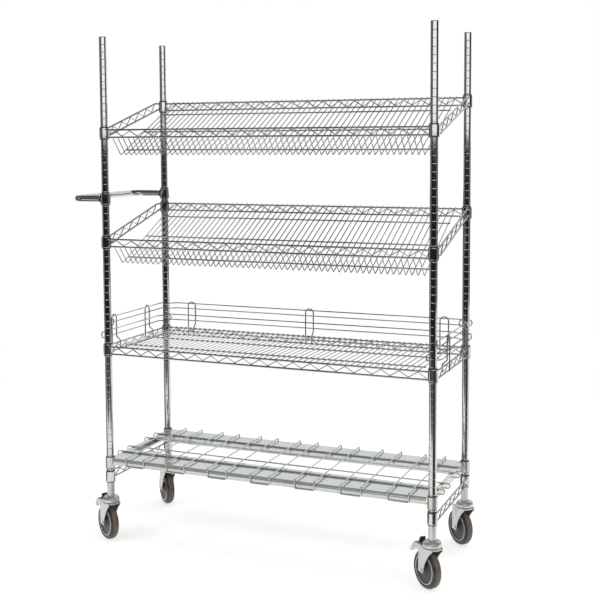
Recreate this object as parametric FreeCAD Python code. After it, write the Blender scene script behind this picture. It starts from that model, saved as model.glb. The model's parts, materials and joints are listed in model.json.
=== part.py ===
"""Order picking trolley: four grooved posts on swivel castors that carry two
sloping wire shelves, a flat wire shelf with ledges, a pressed base deck with a
wire grid, a lower truss frame and a push handle.

Millimetres, +Z up. X runs along the trolley and Y from the picking side to the
back. The origin is on the floor, midway between the four posts.
"""
import FreeCAD, Part
import math
import os
from FreeCAD import Vector

# Posts: round tubes with a ring groove at every step, where shelves lock on
POST_SPACING_X = 1182.0
POST_SPACING_Y = 421.0
POST_DIAMETER = 25.4
POST_WALL = 1.5
GROOVE_PITCH = 25.4
POST_STEPS = 62
POST_CAP_HEIGHT = 2.5

# Groove steps, counted from the foot of the posts, where each level locks on
STEP_LOWER_FRAME = 1
STEP_BASE = 3
STEP_FLAT_SHELF = 19
STEP_MIDDLE_FRONT = 34
STEP_MIDDLE_BACK = 38
STEP_HANDLE = 40
STEP_TOP_FRONT = 49
STEP_TOP_BACK = 53

# Corner collars and the split sleeves that wedge between collar and post
COLLAR_DIAMETER = 34.0
COLLAR_HEIGHT = 38.0
SLEEVE_HEIGHT = 44.0
SLEEVE_TOP_DIAMETER = 29.0
SLEEVE_FOOT_DIAMETER = 31.0
SLEEVE_SIDES = 24
SLEEVE_SPLIT = 1.2
SLEEVE_FIT = 0.05

# Edge trusses: two rails with a zigzag wire between them
RAIL_DIAMETER = 6.0
RAIL_SIDES = 6
RAIL_RISE = 11.0
RAIL_DROP = 14.5
SLOPE_RAIL_DROP = 8.5
RAIL_OUTSET = 9.5
RAIL_LEVEL_RUN = 28.0
ZIGZAG_DIAMETER = 3.6
ZIGZAG_PITCH = 60.6
WELD_GAP = 0.1

# Wire decks: cross wires over lengthwise support wires
DECK_WIRE_DIAMETER = 3.2
DECK_WIRE_COUNT = 55
DECK_WIRE_PITCH = 20.37
DECK_BACK_OVERHANG = 3.0
SUPPORT_DIAMETER = 5.0
SUPPORT_OVERHANG = 4.0
SLOPE_SUPPORT_SPACING = 128.5
FLAT_SUPPORT_SPACING = 157.0
TROUGH_DEPTH = 76.3
TROUGH_SETBACK = 50.0
LIP_CLEARANCE = 0.1

# Base deck: two pressed panels, end channels and a hooked wire grid
PANEL_RISE = 15.5
PANEL_HEIGHT = 22.0
PANEL_SHEET = 1.5
PANEL_FACE_OUTSET = 11.5
PANEL_EDGE_RADIUS = 10.0
PANEL_LIP = 14.0
PANEL_INNER_Y = 95.0
PANEL_INNER_TURN = 15.0
END_CHANNEL_WIDTH = 16.0
GRID_WIRE_DIAMETER = 5.0
GRID_PAIR_COUNT = 7
GRID_PAIR_PITCH = 161.0
GRID_PAIR_WIDTH = 70.0
GRID_BACK_LEG = 18.0
LONG_WIRE_OUTER_Y = 130.0
LONG_WIRE_INNER_Y = 62.0
HOOK_RADIUS = 8.0
HOOK_REACH = 21.0

# Ledges: wire loops carried by arched clips that grip the shelf's rails
LEDGE_ROD_DIAMETER = 4.0
LEDGE_CLIP_DIAMETER = 4.5
LEDGE_LOWER_RISE = 42.0
LEDGE_UPPER_RISE = 88.0
LEDGE_LOOP_HEIGHT = 20.0
LEDGE_PAST_POST = 18.0
LEDGE_SHORT_END = 44.0
LEDGE_TURN_RUN = 36.0
LEDGE_TURN_BEND = 10.0
LEDGE_CLIP_TOP = 113.0
LEDGE_CLIP_FOOT = -11.0
LEDGE_CLIP_WIDTH = 1.5 * DECK_WIRE_PITCH
LEDGE_CLIP_SHOULDER = 16.0
SIDE_CLIP_PLACES = (73.0, 308.0)
BACK_CLIP_WIRES = (-24, 0, 25)
SEAT_GAP = 0.3

# Push handle: a bent tube welded to two collars
HANDLE_DIAMETER = 22.0
HANDLE_REACH = 134.0
HANDLE_BEND = 45.0

# Castors: the rest angle is the way each wheel trails, from +X towards +Y
WHEEL_DIAMETER = 125.0
WHEEL_WIDTH = 32.0
WHEEL_TRAIL = 26.0
CASTOR_ANGLES = {
    "front_left": 147.0,
    "front_right": 140.0,
    "back_left": 135.0,
    "back_right": 137.0,
}
BRAKED_CASTORS = ("front_left", "front_right")
STEM_DIAMETER = 26.0
STEM_LENGTH = 46.7
STEM_SPIGOT_LENGTH = 90.0
HEAD_DIAMETER = 60.0
HEAD_HEIGHT = 19.0
HEAD_ROUND = 11.0
BEARING_GAP = 1.6
BEARING_CLEARANCE = 0.3
BEARING_BORE = 28.0
BEARING_DIAMETER = 52.0
CROWN_HEIGHT = 5.8
CROWN_HEADROOM = 12.6
CROWN_ROUND = 2.0
KINGPIN_DIAMETER = 12.0
KINGPIN_HEAD_DIAMETER = 22.0
KINGPIN_HEAD_HEIGHT = 5.0
RUNNING_FIT = 0.08
FORK_SHEET = 3.0
FORK_INNER_WIDTH = 40.0
FORK_LEAD = 27.0
FORK_REAR = 18.0
FORK_SKIRT = 4.0
FORK_WAIST = 12.0
FORK_SWEEP = 6.0
FORK_TOE = 7.5
FORK_TOE_DROP = 9.0
FORK_HEEL_DROP = 7.0
TYRE_THICKNESS = 15.0
TYRE_ROUND = 8.0
TYRE_SHOULDER = 3.0
HUB_WEB = 20.0
HUB_BOSS_DIAMETER = 34.0
HUB_RIM = 6.0
BUSH_DIAMETER = 18.0
BUSH_END_GAP = 1.0
AXLE_DIAMETER = 8.0
AXLE_HEAD = 11.0
AXLE_HEAD_HEIGHT = 1.5

# Brake pedals on the front castors
PEDAL_WIDTH = 34.0
PEDAL_SHEET = 3.0
PEDAL_PIVOT_X = 66.0
PEDAL_PIVOT_DROP = 10.4
PEDAL_PIVOT_DIAMETER = 6.0
PEDAL_BARREL = 12.0
PEDAL_BEND_X = 80.0
PEDAL_TIP_X = 113.0
PEDAL_TIP_DROP = 35.0
PEDAL_TAB_X = 54.0
PEDAL_TAB_RISE = 26.0
PEDAL_FOOT_X = 57.0
PEDAL_FOOT_RISE = 9.0
EAR_RADIUS = 9.0

# Heights of a castor, worked up from the floor
WHEEL_RADIUS = WHEEL_DIAMETER / 2
AXLE_Z = WHEEL_RADIUS
CROWN_FOOT_Z = WHEEL_DIAMETER + CROWN_HEADROOM
CROWN_TOP_Z = CROWN_FOOT_Z + CROWN_HEIGHT
HEAD_FOOT_Z = CROWN_TOP_Z + BEARING_GAP
HEAD_TOP_Z = HEAD_FOOT_Z + HEAD_HEIGHT
POST_FOOT_Z = HEAD_TOP_Z + STEM_LENGTH
PEDAL_PIVOT_Z = CROWN_TOP_Z - PEDAL_PIVOT_DROP

# Places worked out from the sizes above
TYRE_BORE_RADIUS = WHEEL_RADIUS - TYRE_THICKNESS
POST_X = POST_SPACING_X / 2
POST_Y = POST_SPACING_Y / 2
POST_RADIUS = POST_DIAMETER / 2
COLLAR_RADIUS = COLLAR_DIAMETER / 2
RAIL_RADIUS = RAIL_DIAMETER / 2
RAIL_CORNER = RAIL_RADIUS / math.cos(math.pi / RAIL_SIDES)
DECK_RADIUS = DECK_WIRE_DIAMETER / 2
CORNERS = {
    "front_left": Vector(-POST_X, -POST_Y, 0),
    "front_right": Vector(POST_X, -POST_Y, 0),
    "back_left": Vector(-POST_X, POST_Y, 0),
    "back_right": Vector(POST_X, POST_Y, 0),
}
X_AXIS = Vector(1, 0, 0)
Y_AXIS = Vector(0, 1, 0)
Z_AXIS = Vector(0, 0, 1)
ORIGIN = Vector(0, 0, 0)


def step_z(step):
    """Height of the groove that is this many steps above the posts' foot."""
    return POST_FOOT_Z + step * GROOVE_PITCH


def mirrored(shape, normal):
    """The shape and its mirror image in the plane through the origin."""
    return [shape, shape.mirror(ORIGIN, normal)]


def ring(outer, inner, height, base):
    """A round tube standing on the point base."""
    tube = Part.makeCylinder(outer, height, base)
    return tube.cut(Part.makeCylinder(inner, height, base))


def section(sides, radius, along, flat):
    """Corners of a wire's section: a polygon whose flats lie one radius from
    the wire's line, the first of them facing the direction flat."""
    flat = (flat - along * flat.dot(along)).normalize()
    side = along.cross(flat)
    corner = radius / math.cos(math.pi / sides)
    corners = []
    for k in range(sides):
        angle = math.pi / sides + 2 * math.pi * k / sides
        corners.append(flat * (corner * math.cos(angle)) + side * (corner * math.sin(angle)))
    return corners


def polygon_face(corners):
    return Part.Face(Part.makePolygon(list(corners) + [corners[0]]))


def wire_bar(points, diameter, flat, sides=4, closed=False, ends=(None, None)):
    """A wire along straight runs that meet in mitred corners.

    Each run has flat faces, so that crossing wires can rest on each other.
    ends gives the normals of end cuts that aren't square to the wire.
    """
    count = len(points)
    runs = count if closed else count - 1
    along = [(points[(i + 1) % count] - points[i]).normalize() for i in range(runs)]
    corners = section(sides, diameter / 2, along[0], flat)
    start = [points[0] + c for c in corners]

    def meet(line_points, direction, place, normal):
        return [p + direction * ((place - p).dot(normal) / direction.dot(normal)) for p in line_points]

    if closed:
        first_normal = (along[-1] + along[0]).normalize()
    else:
        first_normal = ends[0] or along[0]
    first = meet(start, along[0], points[0], first_normal)
    faces = []
    rim = first
    for i in range(runs):
        place = points[(i + 1) % count]
        if i + 1 < runs or closed:
            normal = (along[i] + along[(i + 1) % runs]).normalize()
        else:
            normal = ends[1] or along[i]
        far = meet(rim, along[i], place, normal)
        if closed and i == runs - 1:
            far = first
        for k in range(sides):
            n = (k + 1) % sides
            faces.append(polygon_face([rim[k], rim[n], far[n], far[k]]))
        rim = far
    if not closed:
        faces.append(polygon_face(first))
        faces.append(polygon_face(rim))
    shell = Part.Shell(faces)
    solid = Part.Solid(shell)
    if solid.Volume < 0:
        solid.reverse()
    return solid


def arc_points(centre, radius, first, second, start, end, steps):
    """Points on an arc about centre, in the plane of two unit directions."""
    points = []
    for k in range(steps + 1):
        angle = math.radians(start + (end - start) * k / steps)
        points.append(centre + first * (radius * math.cos(angle)) + second * (radius * math.sin(angle)))
    return points


def extruded(points, direction):
    """A flat outline of straight edges, given depth along direction."""
    return polygon_face(points).extrude(direction)


def save(name, shapes):
    """Writes one sub-part; several shapes become a group of solids."""
    if not isinstance(shapes, list):
        shapes = [shapes]
    solids = []
    for shape in shapes:
        solids.extend(shape.Solids)
    result = solids[0] if len(solids) == 1 else Part.makeCompound(solids)
    result.exportStep("parts/%s.step" % name)


def post(corner):
    length = POST_STEPS * GROOVE_PITCH
    foot = corner + Vector(0, 0, POST_FOOT_Z)
    return ring(POST_RADIUS, POST_RADIUS - POST_WALL, length, foot)


def post_cap(corner):
    top = corner + Vector(0, 0, POST_FOOT_Z + POST_STEPS * GROOVE_PITCH)
    cap = Part.makeCylinder(POST_RADIUS, POST_CAP_HEIGHT, top)
    plug_radius = POST_RADIUS - POST_WALL - SLEEVE_FIT
    plug = Part.makeCylinder(plug_radius, GROOVE_PITCH / 2, top - Vector(0, 0, GROOVE_PITCH / 2))
    return cap.fuse(plug).removeSplitter()


def sleeve_radius(height):
    """Outer radius of a sleeve at a height above its middle."""
    share = (height + SLEEVE_HEIGHT / 2) / SLEEVE_HEIGHT
    foot = SLEEVE_FOOT_DIAMETER / 2
    return foot + (SLEEVE_TOP_DIAMETER / 2 - foot) * share


def collar(middle):
    """A corner collar with the tapered bore that the sleeve wedges into."""
    base = middle - Vector(0, 0, COLLAR_HEIGHT / 2)
    low = sleeve_radius(-COLLAR_HEIGHT / 2) + SLEEVE_FIT
    high = sleeve_radius(COLLAR_HEIGHT / 2) + SLEEVE_FIT
    bore = Part.makeCone(low, high, COLLAR_HEIGHT, base)
    return Part.makeCylinder(COLLAR_RADIUS, COLLAR_HEIGHT, base).cut(bore)


def sleeve(middle):
    """A tapered sleeve in two halves around the post, moulded with many small
    flats whose corners lie on the taper."""
    base = middle - Vector(0, 0, SLEEVE_HEIGHT / 2)
    flat_share = math.cos(math.pi / SLEEVE_SIDES)
    rims = []
    for height in (0, SLEEVE_HEIGHT):
        radius = sleeve_radius(height - SLEEVE_HEIGHT / 2) * flat_share
        corners = [base + Vector(0, 0, height) + c for c in section(SLEEVE_SIDES, radius, Z_AXIS, X_AXIS)]
        rims.append(Part.makePolygon(corners + [corners[0]]))
    cone = Part.makeLoft(rims, True, True)
    bore = Part.makeCylinder(POST_RADIUS + SLEEVE_FIT, SLEEVE_HEIGHT, base)
    reach = SLEEVE_FOOT_DIAMETER
    corner = base + Vector(-reach / 2, -SLEEVE_SPLIT / 2, 0)
    split = Part.makeBox(reach, SLEEVE_SPLIT, SLEEVE_HEIGHT, corner)
    return cone.cut(bore).cut(split)


def corner_points(front_z, back_z):
    """The four corners at the level of a shelf's front and back collars."""
    places = []
    for corner in CORNERS.values():
        places.append(corner + Vector(0, 0, front_z if corner.y < 0 else back_z))
    return places


def rail_end(offset):
    """How far from a post's middle a rail stops, just short of the collar."""
    inner = max(offset - RAIL_CORNER, 0)
    return math.sqrt(COLLAR_RADIUS ** 2 - inner ** 2) + WELD_GAP


def zigzag(start, end, pitch):
    """A zigzag wire between two rails; start and end are on its middle line."""
    along = end - start
    length = along.Length
    along.normalize()
    clear = (RAIL_RISE + RAIL_DROP) / 2 - RAIL_RADIUS - WELD_GAP
    half = round(2 * length / pitch)
    step = length / half
    lean = math.atan2(2 * clear, step)
    swing = clear - ZIGZAG_DIAMETER / 2 / math.cos(lean)
    points = []
    for k in range(half + 1):
        sign = 1 if k % 2 else -1
        points.append(start + along * (k * step) + Z_AXIS * (sign * swing))
    face = along.cross(Z_AXIS)
    return wire_bar(points, ZIGZAG_DIAMETER, face)


def long_truss(y, z):
    """A level truss along X at the front or back of a shelf."""
    half = POST_X - rail_end(abs(y) - POST_Y)
    shapes = []
    for height in (RAIL_RISE, -RAIL_DROP):
        ends = [Vector(-half, y, z + height), Vector(half, y, z + height)]
        shapes.append(wire_bar(ends, RAIL_DIAMETER, Z_AXIS, RAIL_SIDES))
    middle = z + (RAIL_RISE - RAIL_DROP) / 2
    start = half - ZIGZAG_DIAMETER
    shapes.append(zigzag(Vector(-start, y, middle), Vector(start, y, middle), ZIGZAG_PITCH))
    return shapes


def side_truss(sign, front_z, back_z):
    """A truss along Y at one end of a shelf, which climbs where the back is
    higher. Its rails run level for a short way beside the collars."""
    x = sign * (POST_X + RAIL_OUTSET)
    half = POST_Y - rail_end(RAIL_OUTSET)
    turn = half - RAIL_LEVEL_RUN
    climbs = back_z > front_z
    drop = SLOPE_RAIL_DROP if climbs else RAIL_DROP
    top = [Vector(x, -half, front_z + RAIL_RISE)]
    foot = [Vector(x, -half, front_z - drop)]
    if climbs:
        top.append(Vector(x, turn, back_z + RAIL_RISE))
        foot.append(Vector(x, -turn, front_z - drop))
    top.append(Vector(x, half, back_z + RAIL_RISE))
    foot.append(Vector(x, half, back_z - drop))
    square = (Y_AXIS, Y_AXIS)
    rails = [wire_bar(route, RAIL_DIAMETER, Z_AXIS, RAIL_SIDES, ends=square) for route in (top, foot)]
    slope = (back_z - front_z) / (half + turn)
    span = turn - ZIGZAG_DIAMETER

    def middle(y):
        upper = front_z + RAIL_RISE + slope * (y + half)
        lower = front_z - drop + slope * (y + turn)
        return Vector(x, y, (upper + lower) / 2)

    spread = RAIL_RISE + drop + slope * (half - turn)
    web = side_zigzag(middle(-span), middle(span), spread)
    return rails + [web]


def side_zigzag(start, end, spread):
    """The zigzag of a side truss whose rails are this far apart in height."""
    along = (end - start).normalize()
    clear = spread / 2 * along.y - RAIL_RADIUS - WELD_GAP
    length = (end - start).Length
    half = round(2 * length / ZIGZAG_PITCH)
    step = length / half
    normal = X_AXIS.cross(along)
    lean = math.atan2(2 * clear, step)
    swing = clear - ZIGZAG_DIAMETER / 2 / math.cos(lean)
    points = []
    for k in range(half + 1):
        sign = 1 if k % 2 else -1
        points.append(start + along * (k * step) + normal * (sign * swing))
    return wire_bar(points, ZIGZAG_DIAMETER, X_AXIS)


def shelf_frame(front_z, back_z):
    """Collars and trusses of a wire shelf."""
    shapes = [collar(place) for place in corner_points(front_z, back_z)]
    shapes += long_truss(-POST_Y - RAIL_OUTSET, front_z)
    shapes += long_truss(POST_Y + RAIL_OUTSET, back_z)
    for sign in (-1, 1):
        shapes += side_truss(sign, front_z, back_z)
    return shapes


def deck_places():
    """X of each cross wire of a deck."""
    first = -(DECK_WIRE_COUNT - 1) / 2 * DECK_WIRE_PITCH
    return [first + k * DECK_WIRE_PITCH for k in range(DECK_WIRE_COUNT)]


def support_wire(y, z, normal):
    """A lengthwise wire under a deck whose cross wires pass through (y, z)."""
    reach = (DECK_WIRE_COUNT - 1) / 2 * DECK_WIRE_PITCH + SUPPORT_OVERHANG
    drop = normal * (DECK_RADIUS + SUPPORT_DIAMETER / 2)
    ends = [Vector(-reach, y, z) - drop, Vector(reach, y, z) - drop]
    return wire_bar(ends, SUPPORT_DIAMETER, normal)


def flat_deck(level):
    """Cross wires over the front and back rails, on support wires."""
    z = level + RAIL_RISE + RAIL_RADIUS + DECK_RADIUS
    reach = POST_Y + RAIL_OUTSET + DECK_BACK_OVERHANG
    shapes = []
    for x in deck_places():
        shapes.append(wire_bar([Vector(x, -reach, z), Vector(x, reach, z)], DECK_WIRE_DIAMETER, Z_AXIS))
    for k in (-1, 0, 1):
        shapes.append(support_wire(k * FLAT_SUPPORT_SPACING, z, Z_AXIS))
    return shapes


def sloping_deck(front_z, back_z):
    """The deck and the lip of a sloping shelf.

    Each cross wire comes down from the back rail, passes under the front truss
    and turns up in a V to the front rail, so that the goods stop in a trough.
    The deck holds the wires down to the bend, and the lip from there.
    """
    rail_y = POST_Y + RAIL_OUTSET
    rail = Vector(0, rail_y, back_z + RAIL_RISE)
    bend = Vector(0, -rail_y + TROUGH_SETBACK, front_z - TROUGH_DEPTH)
    across_rail = rail - bend
    over_rail = RAIL_CORNER + DECK_RADIUS
    slope = math.atan2(across_rail.z, across_rail.y) + math.asin(over_rail / across_rail.Length)
    run = Vector(0, math.cos(slope), math.sin(slope))
    normal = X_AXIS.cross(run)
    run_length = math.sqrt(across_rail.Length ** 2 - over_rail ** 2)
    tip = Vector(0, -rail_y, front_z - RAIL_DROP - RAIL_RADIUS - DECK_RADIUS - LIP_CLEARANCE)
    rise = (tip - bend).normalize()
    mitre = (rise - run).normalize()
    tail = bend + run * (run_length + DECK_BACK_OVERHANG)
    deck = []
    lip = []
    for x in deck_places():
        across = Vector(x, 0, 0)
        slope_run = [tail + across, bend + across]
        lip_run = [bend + across, tip + across]
        deck.append(wire_bar(slope_run, DECK_WIRE_DIAMETER, normal, ends=(None, mitre)))
        lip.append(wire_bar(lip_run, DECK_WIRE_DIAMETER, normal, ends=(mitre, None)))
    for k in (-1, 0, 1):
        y = k * SLOPE_SUPPORT_SPACING
        z = bend.z + (y - bend.y) * run.z / run.y
        deck.append(support_wire(y, z, normal))
    return deck, lip


def pressed_panel():
    """The front panel of the base: a sheet with a rounded front edge, a face
    with a lip under it and a turned-down inner edge."""
    top = step_z(STEP_BASE) + PANEL_RISE
    foot = top - PANEL_HEIGHT
    face_y = -POST_Y - PANEL_FACE_OUTSET
    sheet = PANEL_SHEET
    bend = PANEL_EDGE_RADIUS
    centre_y = face_y + bend
    centre_z = top - bend
    diagonal = math.sqrt(0.5)

    def at(y, z):
        return Vector(0, y, z)

    def rounded(radius):
        middle = at(centre_y - radius * diagonal, centre_z + radius * diagonal)
        return Part.Arc(at(centre_y, centre_z + radius), middle, at(centre_y - radius, centre_z)).toShape()

    inner_y = -PANEL_INNER_Y
    outline = [
        Part.makeLine(at(inner_y, top), at(centre_y, top)),
        rounded(bend),
        Part.makeLine(at(face_y, centre_z), at(face_y, foot)),
        Part.makeLine(at(face_y, foot), at(face_y + PANEL_LIP, foot)),
        Part.makeLine(at(face_y + PANEL_LIP, foot), at(face_y + PANEL_LIP, foot + sheet)),
        Part.makeLine(at(face_y + PANEL_LIP, foot + sheet), at(face_y + sheet, foot + sheet)),
        Part.makeLine(at(face_y + sheet, foot + sheet), at(face_y + sheet, centre_z)),
        rounded(bend - sheet),
        Part.makeLine(at(centre_y, top - sheet), at(inner_y - sheet, top - sheet)),
        Part.makeLine(at(inner_y - sheet, top - sheet), at(inner_y - sheet, top - PANEL_INNER_TURN)),
        Part.makeLine(at(inner_y - sheet, top - PANEL_INNER_TURN), at(inner_y, top - PANEL_INNER_TURN)),
        Part.makeLine(at(inner_y, top - PANEL_INNER_TURN), at(inner_y, top)),
    ]
    wire = Part.Wire(Part.__sortEdges__(outline))
    half = POST_X - COLLAR_RADIUS - SEAT_GAP
    panel = Part.Face(wire).extrude(X_AXIS * (2 * half))
    panel.translate(Vector(-half, 0, 0))
    return panel


def end_channel():
    """The left end channel of the base, open towards the middle."""
    top = step_z(STEP_BASE) + PANEL_RISE
    foot = top - PANEL_HEIGHT
    inner = -POST_X + COLLAR_RADIUS - SEAT_GAP / 2
    outer = inner - END_CHANNEL_WIDTH
    sheet = PANEL_SHEET
    half = POST_Y - COLLAR_RADIUS - SEAT_GAP
    outline = [
        Vector(inner, -half, top),
        Vector(outer, -half, top),
        Vector(outer, -half, foot),
        Vector(inner, -half, foot),
        Vector(inner, -half, foot + sheet),
        Vector(outer + sheet, -half, foot + sheet),
        Vector(outer + sheet, -half, top - sheet),
        Vector(inner, -half, top - sheet),
    ]
    return extruded(outline, Y_AXIS * (2 * half))


def base_frame():
    """Corner collars and end channels of the base."""
    level = step_z(STEP_BASE)
    shapes = [collar(place) for place in corner_points(level, level)]
    return shapes + mirrored(end_channel(), X_AXIS)


def grid_heights():
    """Heights of the lengthwise and the crosswise wires of the base grid."""
    low = step_z(STEP_BASE) + PANEL_RISE + GRID_WIRE_DIAMETER / 2
    return low, low + GRID_WIRE_DIAMETER


def grid_pairs():
    """Crosswise wires in joined pairs, hooked down over both panels."""
    high = grid_heights()[1]
    radius = GRID_WIRE_DIAMETER / 2
    edge = POST_Y + PANEL_FACE_OUTSET + radius + WELD_GAP
    foot = step_z(STEP_BASE) + PANEL_RISE - PANEL_HEIGHT
    shapes = []
    for k in range(GRID_PAIR_COUNT):
        middle = (k - (GRID_PAIR_COUNT - 1) / 2) * GRID_PAIR_PITCH
        left = middle - GRID_PAIR_WIDTH / 2
        right = middle + GRID_PAIR_WIDTH / 2
        route = [
            Vector(left, edge, high - GRID_BACK_LEG),
            Vector(left, edge, high),
            Vector(left, -edge, high),
            Vector(left, -edge, foot),
            Vector(right, -edge, foot),
            Vector(right, -edge, high),
            Vector(right, edge, high),
            Vector(right, edge, high - GRID_BACK_LEG),
        ]
        shapes.append(wire_bar(route, GRID_WIRE_DIAMETER, X_AXIS))
    return shapes


def grid_long_wires():
    """Lengthwise wires with a hook past each end channel."""
    low = grid_heights()[0]
    face = POST_X - COLLAR_RADIUS + SEAT_GAP / 2 + END_CHANNEL_WIDTH
    turn_x = face + HOOK_REACH - HOOK_RADIUS - GRID_WIRE_DIAMETER / 2
    stop_x = face + SEAT_GAP
    shapes = []
    for y in (-LONG_WIRE_OUTER_Y, -LONG_WIRE_INNER_Y, LONG_WIRE_INNER_Y, LONG_WIRE_OUTER_Y):
        centre = Vector(turn_x, y, low - HOOK_RADIUS)
        right = arc_points(centre, HOOK_RADIUS, X_AXIS, Z_AXIS, 90, -90, 4)
        right.append(Vector(stop_x, y, low - 2 * HOOK_RADIUS))
        left = [Vector(-p.x, p.y, p.z) for p in reversed(right)]
        shapes.append(wire_bar(left + right, GRID_WIRE_DIAMETER, Y_AXIS))
    return shapes


def lower_frame():
    """End trusses under the base, which tie the posts in pairs."""
    level = step_z(STEP_LOWER_FRAME)
    shapes = [collar(place) for place in corner_points(level, level)]
    for sign in (-1, 1):
        shapes += side_truss(sign, level, level)
    return shapes


def ledge(length, clip_places):
    """One ledge in its own frame, before it is turned to its side.

    X runs along the shelf's edge from one post to the next, Y points outwards
    and Z is the height above the shelf's level. The lower loop passes outside
    the first post and turns in before the second; the upper loop stops short of
    the first and passes outside the second.
    """
    rod = LEDGE_ROD_DIAMETER / 2
    clip = LEDGE_CLIP_DIAMETER / 2
    out = POST_RADIUS + SEAT_GAP + rod
    radius = LEDGE_LOOP_HEIGHT / 2
    shapes = []

    lower_z = LEDGE_LOWER_RISE + radius
    start = Vector(-LEDGE_PAST_POST + radius, out, lower_z)
    turn_x = length - out
    near = Vector(turn_x - LEDGE_TURN_BEND, out, lower_z)
    bent = Vector(turn_x, out - LEDGE_TURN_BEND, lower_z)
    stop = Vector(turn_x, out - LEDGE_TURN_RUN, lower_z)
    down = Z_AXIS * -radius
    up = Z_AXIS * radius
    loop = arc_points(start, radius, -X_AXIS, Z_AXIS, 90, -90, 4)
    loop += [near + down, bent + down]
    loop += arc_points(stop, radius, -Y_AXIS, Z_AXIS, -90, 90, 4)
    loop += [bent + up, near + up]
    shapes.append(wire_bar(loop, LEDGE_ROD_DIAMETER, Y_AXIS, closed=True))

    upper_z = LEDGE_UPPER_RISE + radius
    start = Vector(LEDGE_SHORT_END + radius, out, upper_z)
    stop = Vector(length + LEDGE_PAST_POST - radius, out, upper_z)
    loop = arc_points(start, radius, -X_AXIS, Z_AXIS, 90, -90, 4)
    loop += arc_points(stop, radius, X_AXIS, Z_AXIS, -90, 90, 4)
    shapes.append(wire_bar(loop, LEDGE_ROD_DIAMETER, Y_AXIS, closed=True))

    clip_y = max(out + rod + clip, RAIL_OUTSET + RAIL_CORNER + SEAT_GAP + clip)
    grip_y = RAIL_OUTSET - RAIL_CORNER - SEAT_GAP - clip
    arch = LEDGE_CLIP_WIDTH / 2
    shoulder = RAIL_RISE + RAIL_RADIUS + LEDGE_CLIP_SHOULDER
    seat = RAIL_RISE + RAIL_RADIUS + clip
    for place in clip_places:
        centre = Vector(place, clip_y, LEDGE_CLIP_TOP - arch)
        route = [Vector(place - arch, clip_y, LEDGE_CLIP_FOOT)]
        route += arc_points(centre, arch, -X_AXIS, Z_AXIS, 0, 180, 6)
        route += [
            Vector(place + arch, clip_y, shoulder),
            Vector(place + arch, grip_y, seat),
            Vector(place + arch, grip_y, LEDGE_CLIP_FOOT),
        ]
        shapes.append(wire_bar(route, LEDGE_CLIP_DIAMETER, Y_AXIS))
    return shapes


def placed_ledge(side):
    """A ledge on the left, back or right edge of the flat shelf."""
    level = step_z(STEP_FLAT_SHELF)
    if side == "back":
        places = [POST_X + k * DECK_WIRE_PITCH for k in BACK_CLIP_WIRES]
        shapes = ledge(POST_SPACING_X, places)
        angle = 0
        start = CORNERS["back_left"]
    else:
        shapes = ledge(POST_SPACING_Y, SIDE_CLIP_PLACES)
        angle = 90 if side == "left" else -90
        start = CORNERS["front_left"] if side == "left" else CORNERS["back_right"]
    for shape in shapes:
        shape.rotate(ORIGIN, Z_AXIS, angle)
        shape.translate(start + Vector(0, 0, level))
    return shapes


def push_handle():
    """A bent tube between two collars on the left posts."""
    level = step_z(STEP_HANDLE)
    seat_x = -POST_X - COLLAR_RADIUS - WELD_GAP
    bar_x = -POST_X - HANDLE_REACH
    bend = HANDLE_BEND
    diagonal = bend * (1 - math.sqrt(0.5))

    def at(x, y):
        return Vector(x, y, level)

    route = [
        Part.makeLine(at(seat_x, -POST_Y), at(bar_x + bend, -POST_Y)),
        Part.Arc(at(bar_x + bend, -POST_Y), at(bar_x + diagonal, -POST_Y + diagonal),
                 at(bar_x, -POST_Y + bend)).toShape(),
        Part.makeLine(at(bar_x, -POST_Y + bend), at(bar_x, POST_Y - bend)),
        Part.Arc(at(bar_x, POST_Y - bend), at(bar_x + diagonal, POST_Y - diagonal),
                 at(bar_x + bend, POST_Y)).toShape(),
        Part.makeLine(at(bar_x + bend, POST_Y), at(seat_x, POST_Y)),
    ]
    path = Part.Wire(route)
    outer = Part.Wire(Part.makeCircle(HANDLE_DIAMETER / 2, at(seat_x, -POST_Y), X_AXIS))
    tube = path.makePipeShell([outer], True, False)
    places = [CORNERS["front_left"], CORNERS["back_left"]]
    collars = [collar(place + Vector(0, 0, level)) for place in places]
    return [tube] + collars


def rounded_head(radius, height, rounding, base_z):
    """A round head with a rounded upper edge."""
    head = Part.makeCylinder(radius, height, Vector(0, 0, base_z))
    top_edge = max(head.Edges, key=lambda edge: edge.BoundBox.ZMin)
    return head.makeFillet(rounding, [top_edge])


def castor_stem():
    """The fixed half of a castor: spigot, stem, upper head and kingpin."""
    spigot_radius = POST_RADIUS - POST_WALL - SLEEVE_FIT
    spigot = Part.makeCylinder(spigot_radius, STEM_SPIGOT_LENGTH, Vector(0, 0, POST_FOOT_Z))
    stem = Part.makeCylinder(STEM_DIAMETER / 2, POST_FOOT_Z - HEAD_TOP_Z, Vector(0, 0, HEAD_TOP_Z))
    head = rounded_head(HEAD_DIAMETER / 2, HEAD_HEIGHT, HEAD_ROUND, HEAD_FOOT_Z)
    pin_foot = CROWN_FOOT_Z - BEARING_CLEARANCE
    pin = Part.makeCylinder(KINGPIN_DIAMETER / 2, HEAD_FOOT_Z - pin_foot, Vector(0, 0, pin_foot))
    rivet_foot = Vector(0, 0, pin_foot - KINGPIN_HEAD_HEIGHT)
    rivet = Part.makeCylinder(KINGPIN_HEAD_DIAMETER / 2, KINGPIN_HEAD_HEIGHT, rivet_foot)
    return spigot.fuse([stem, head, pin, rivet]).removeSplitter()


def swivel_bearing():
    """The ring of the swivel bearing between the two heads."""
    base = Vector(0, 0, CROWN_TOP_Z + BEARING_CLEARANCE)
    height = BEARING_GAP - 2 * BEARING_CLEARANCE
    return ring(BEARING_DIAMETER / 2, BEARING_BORE / 2, height, base)


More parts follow.
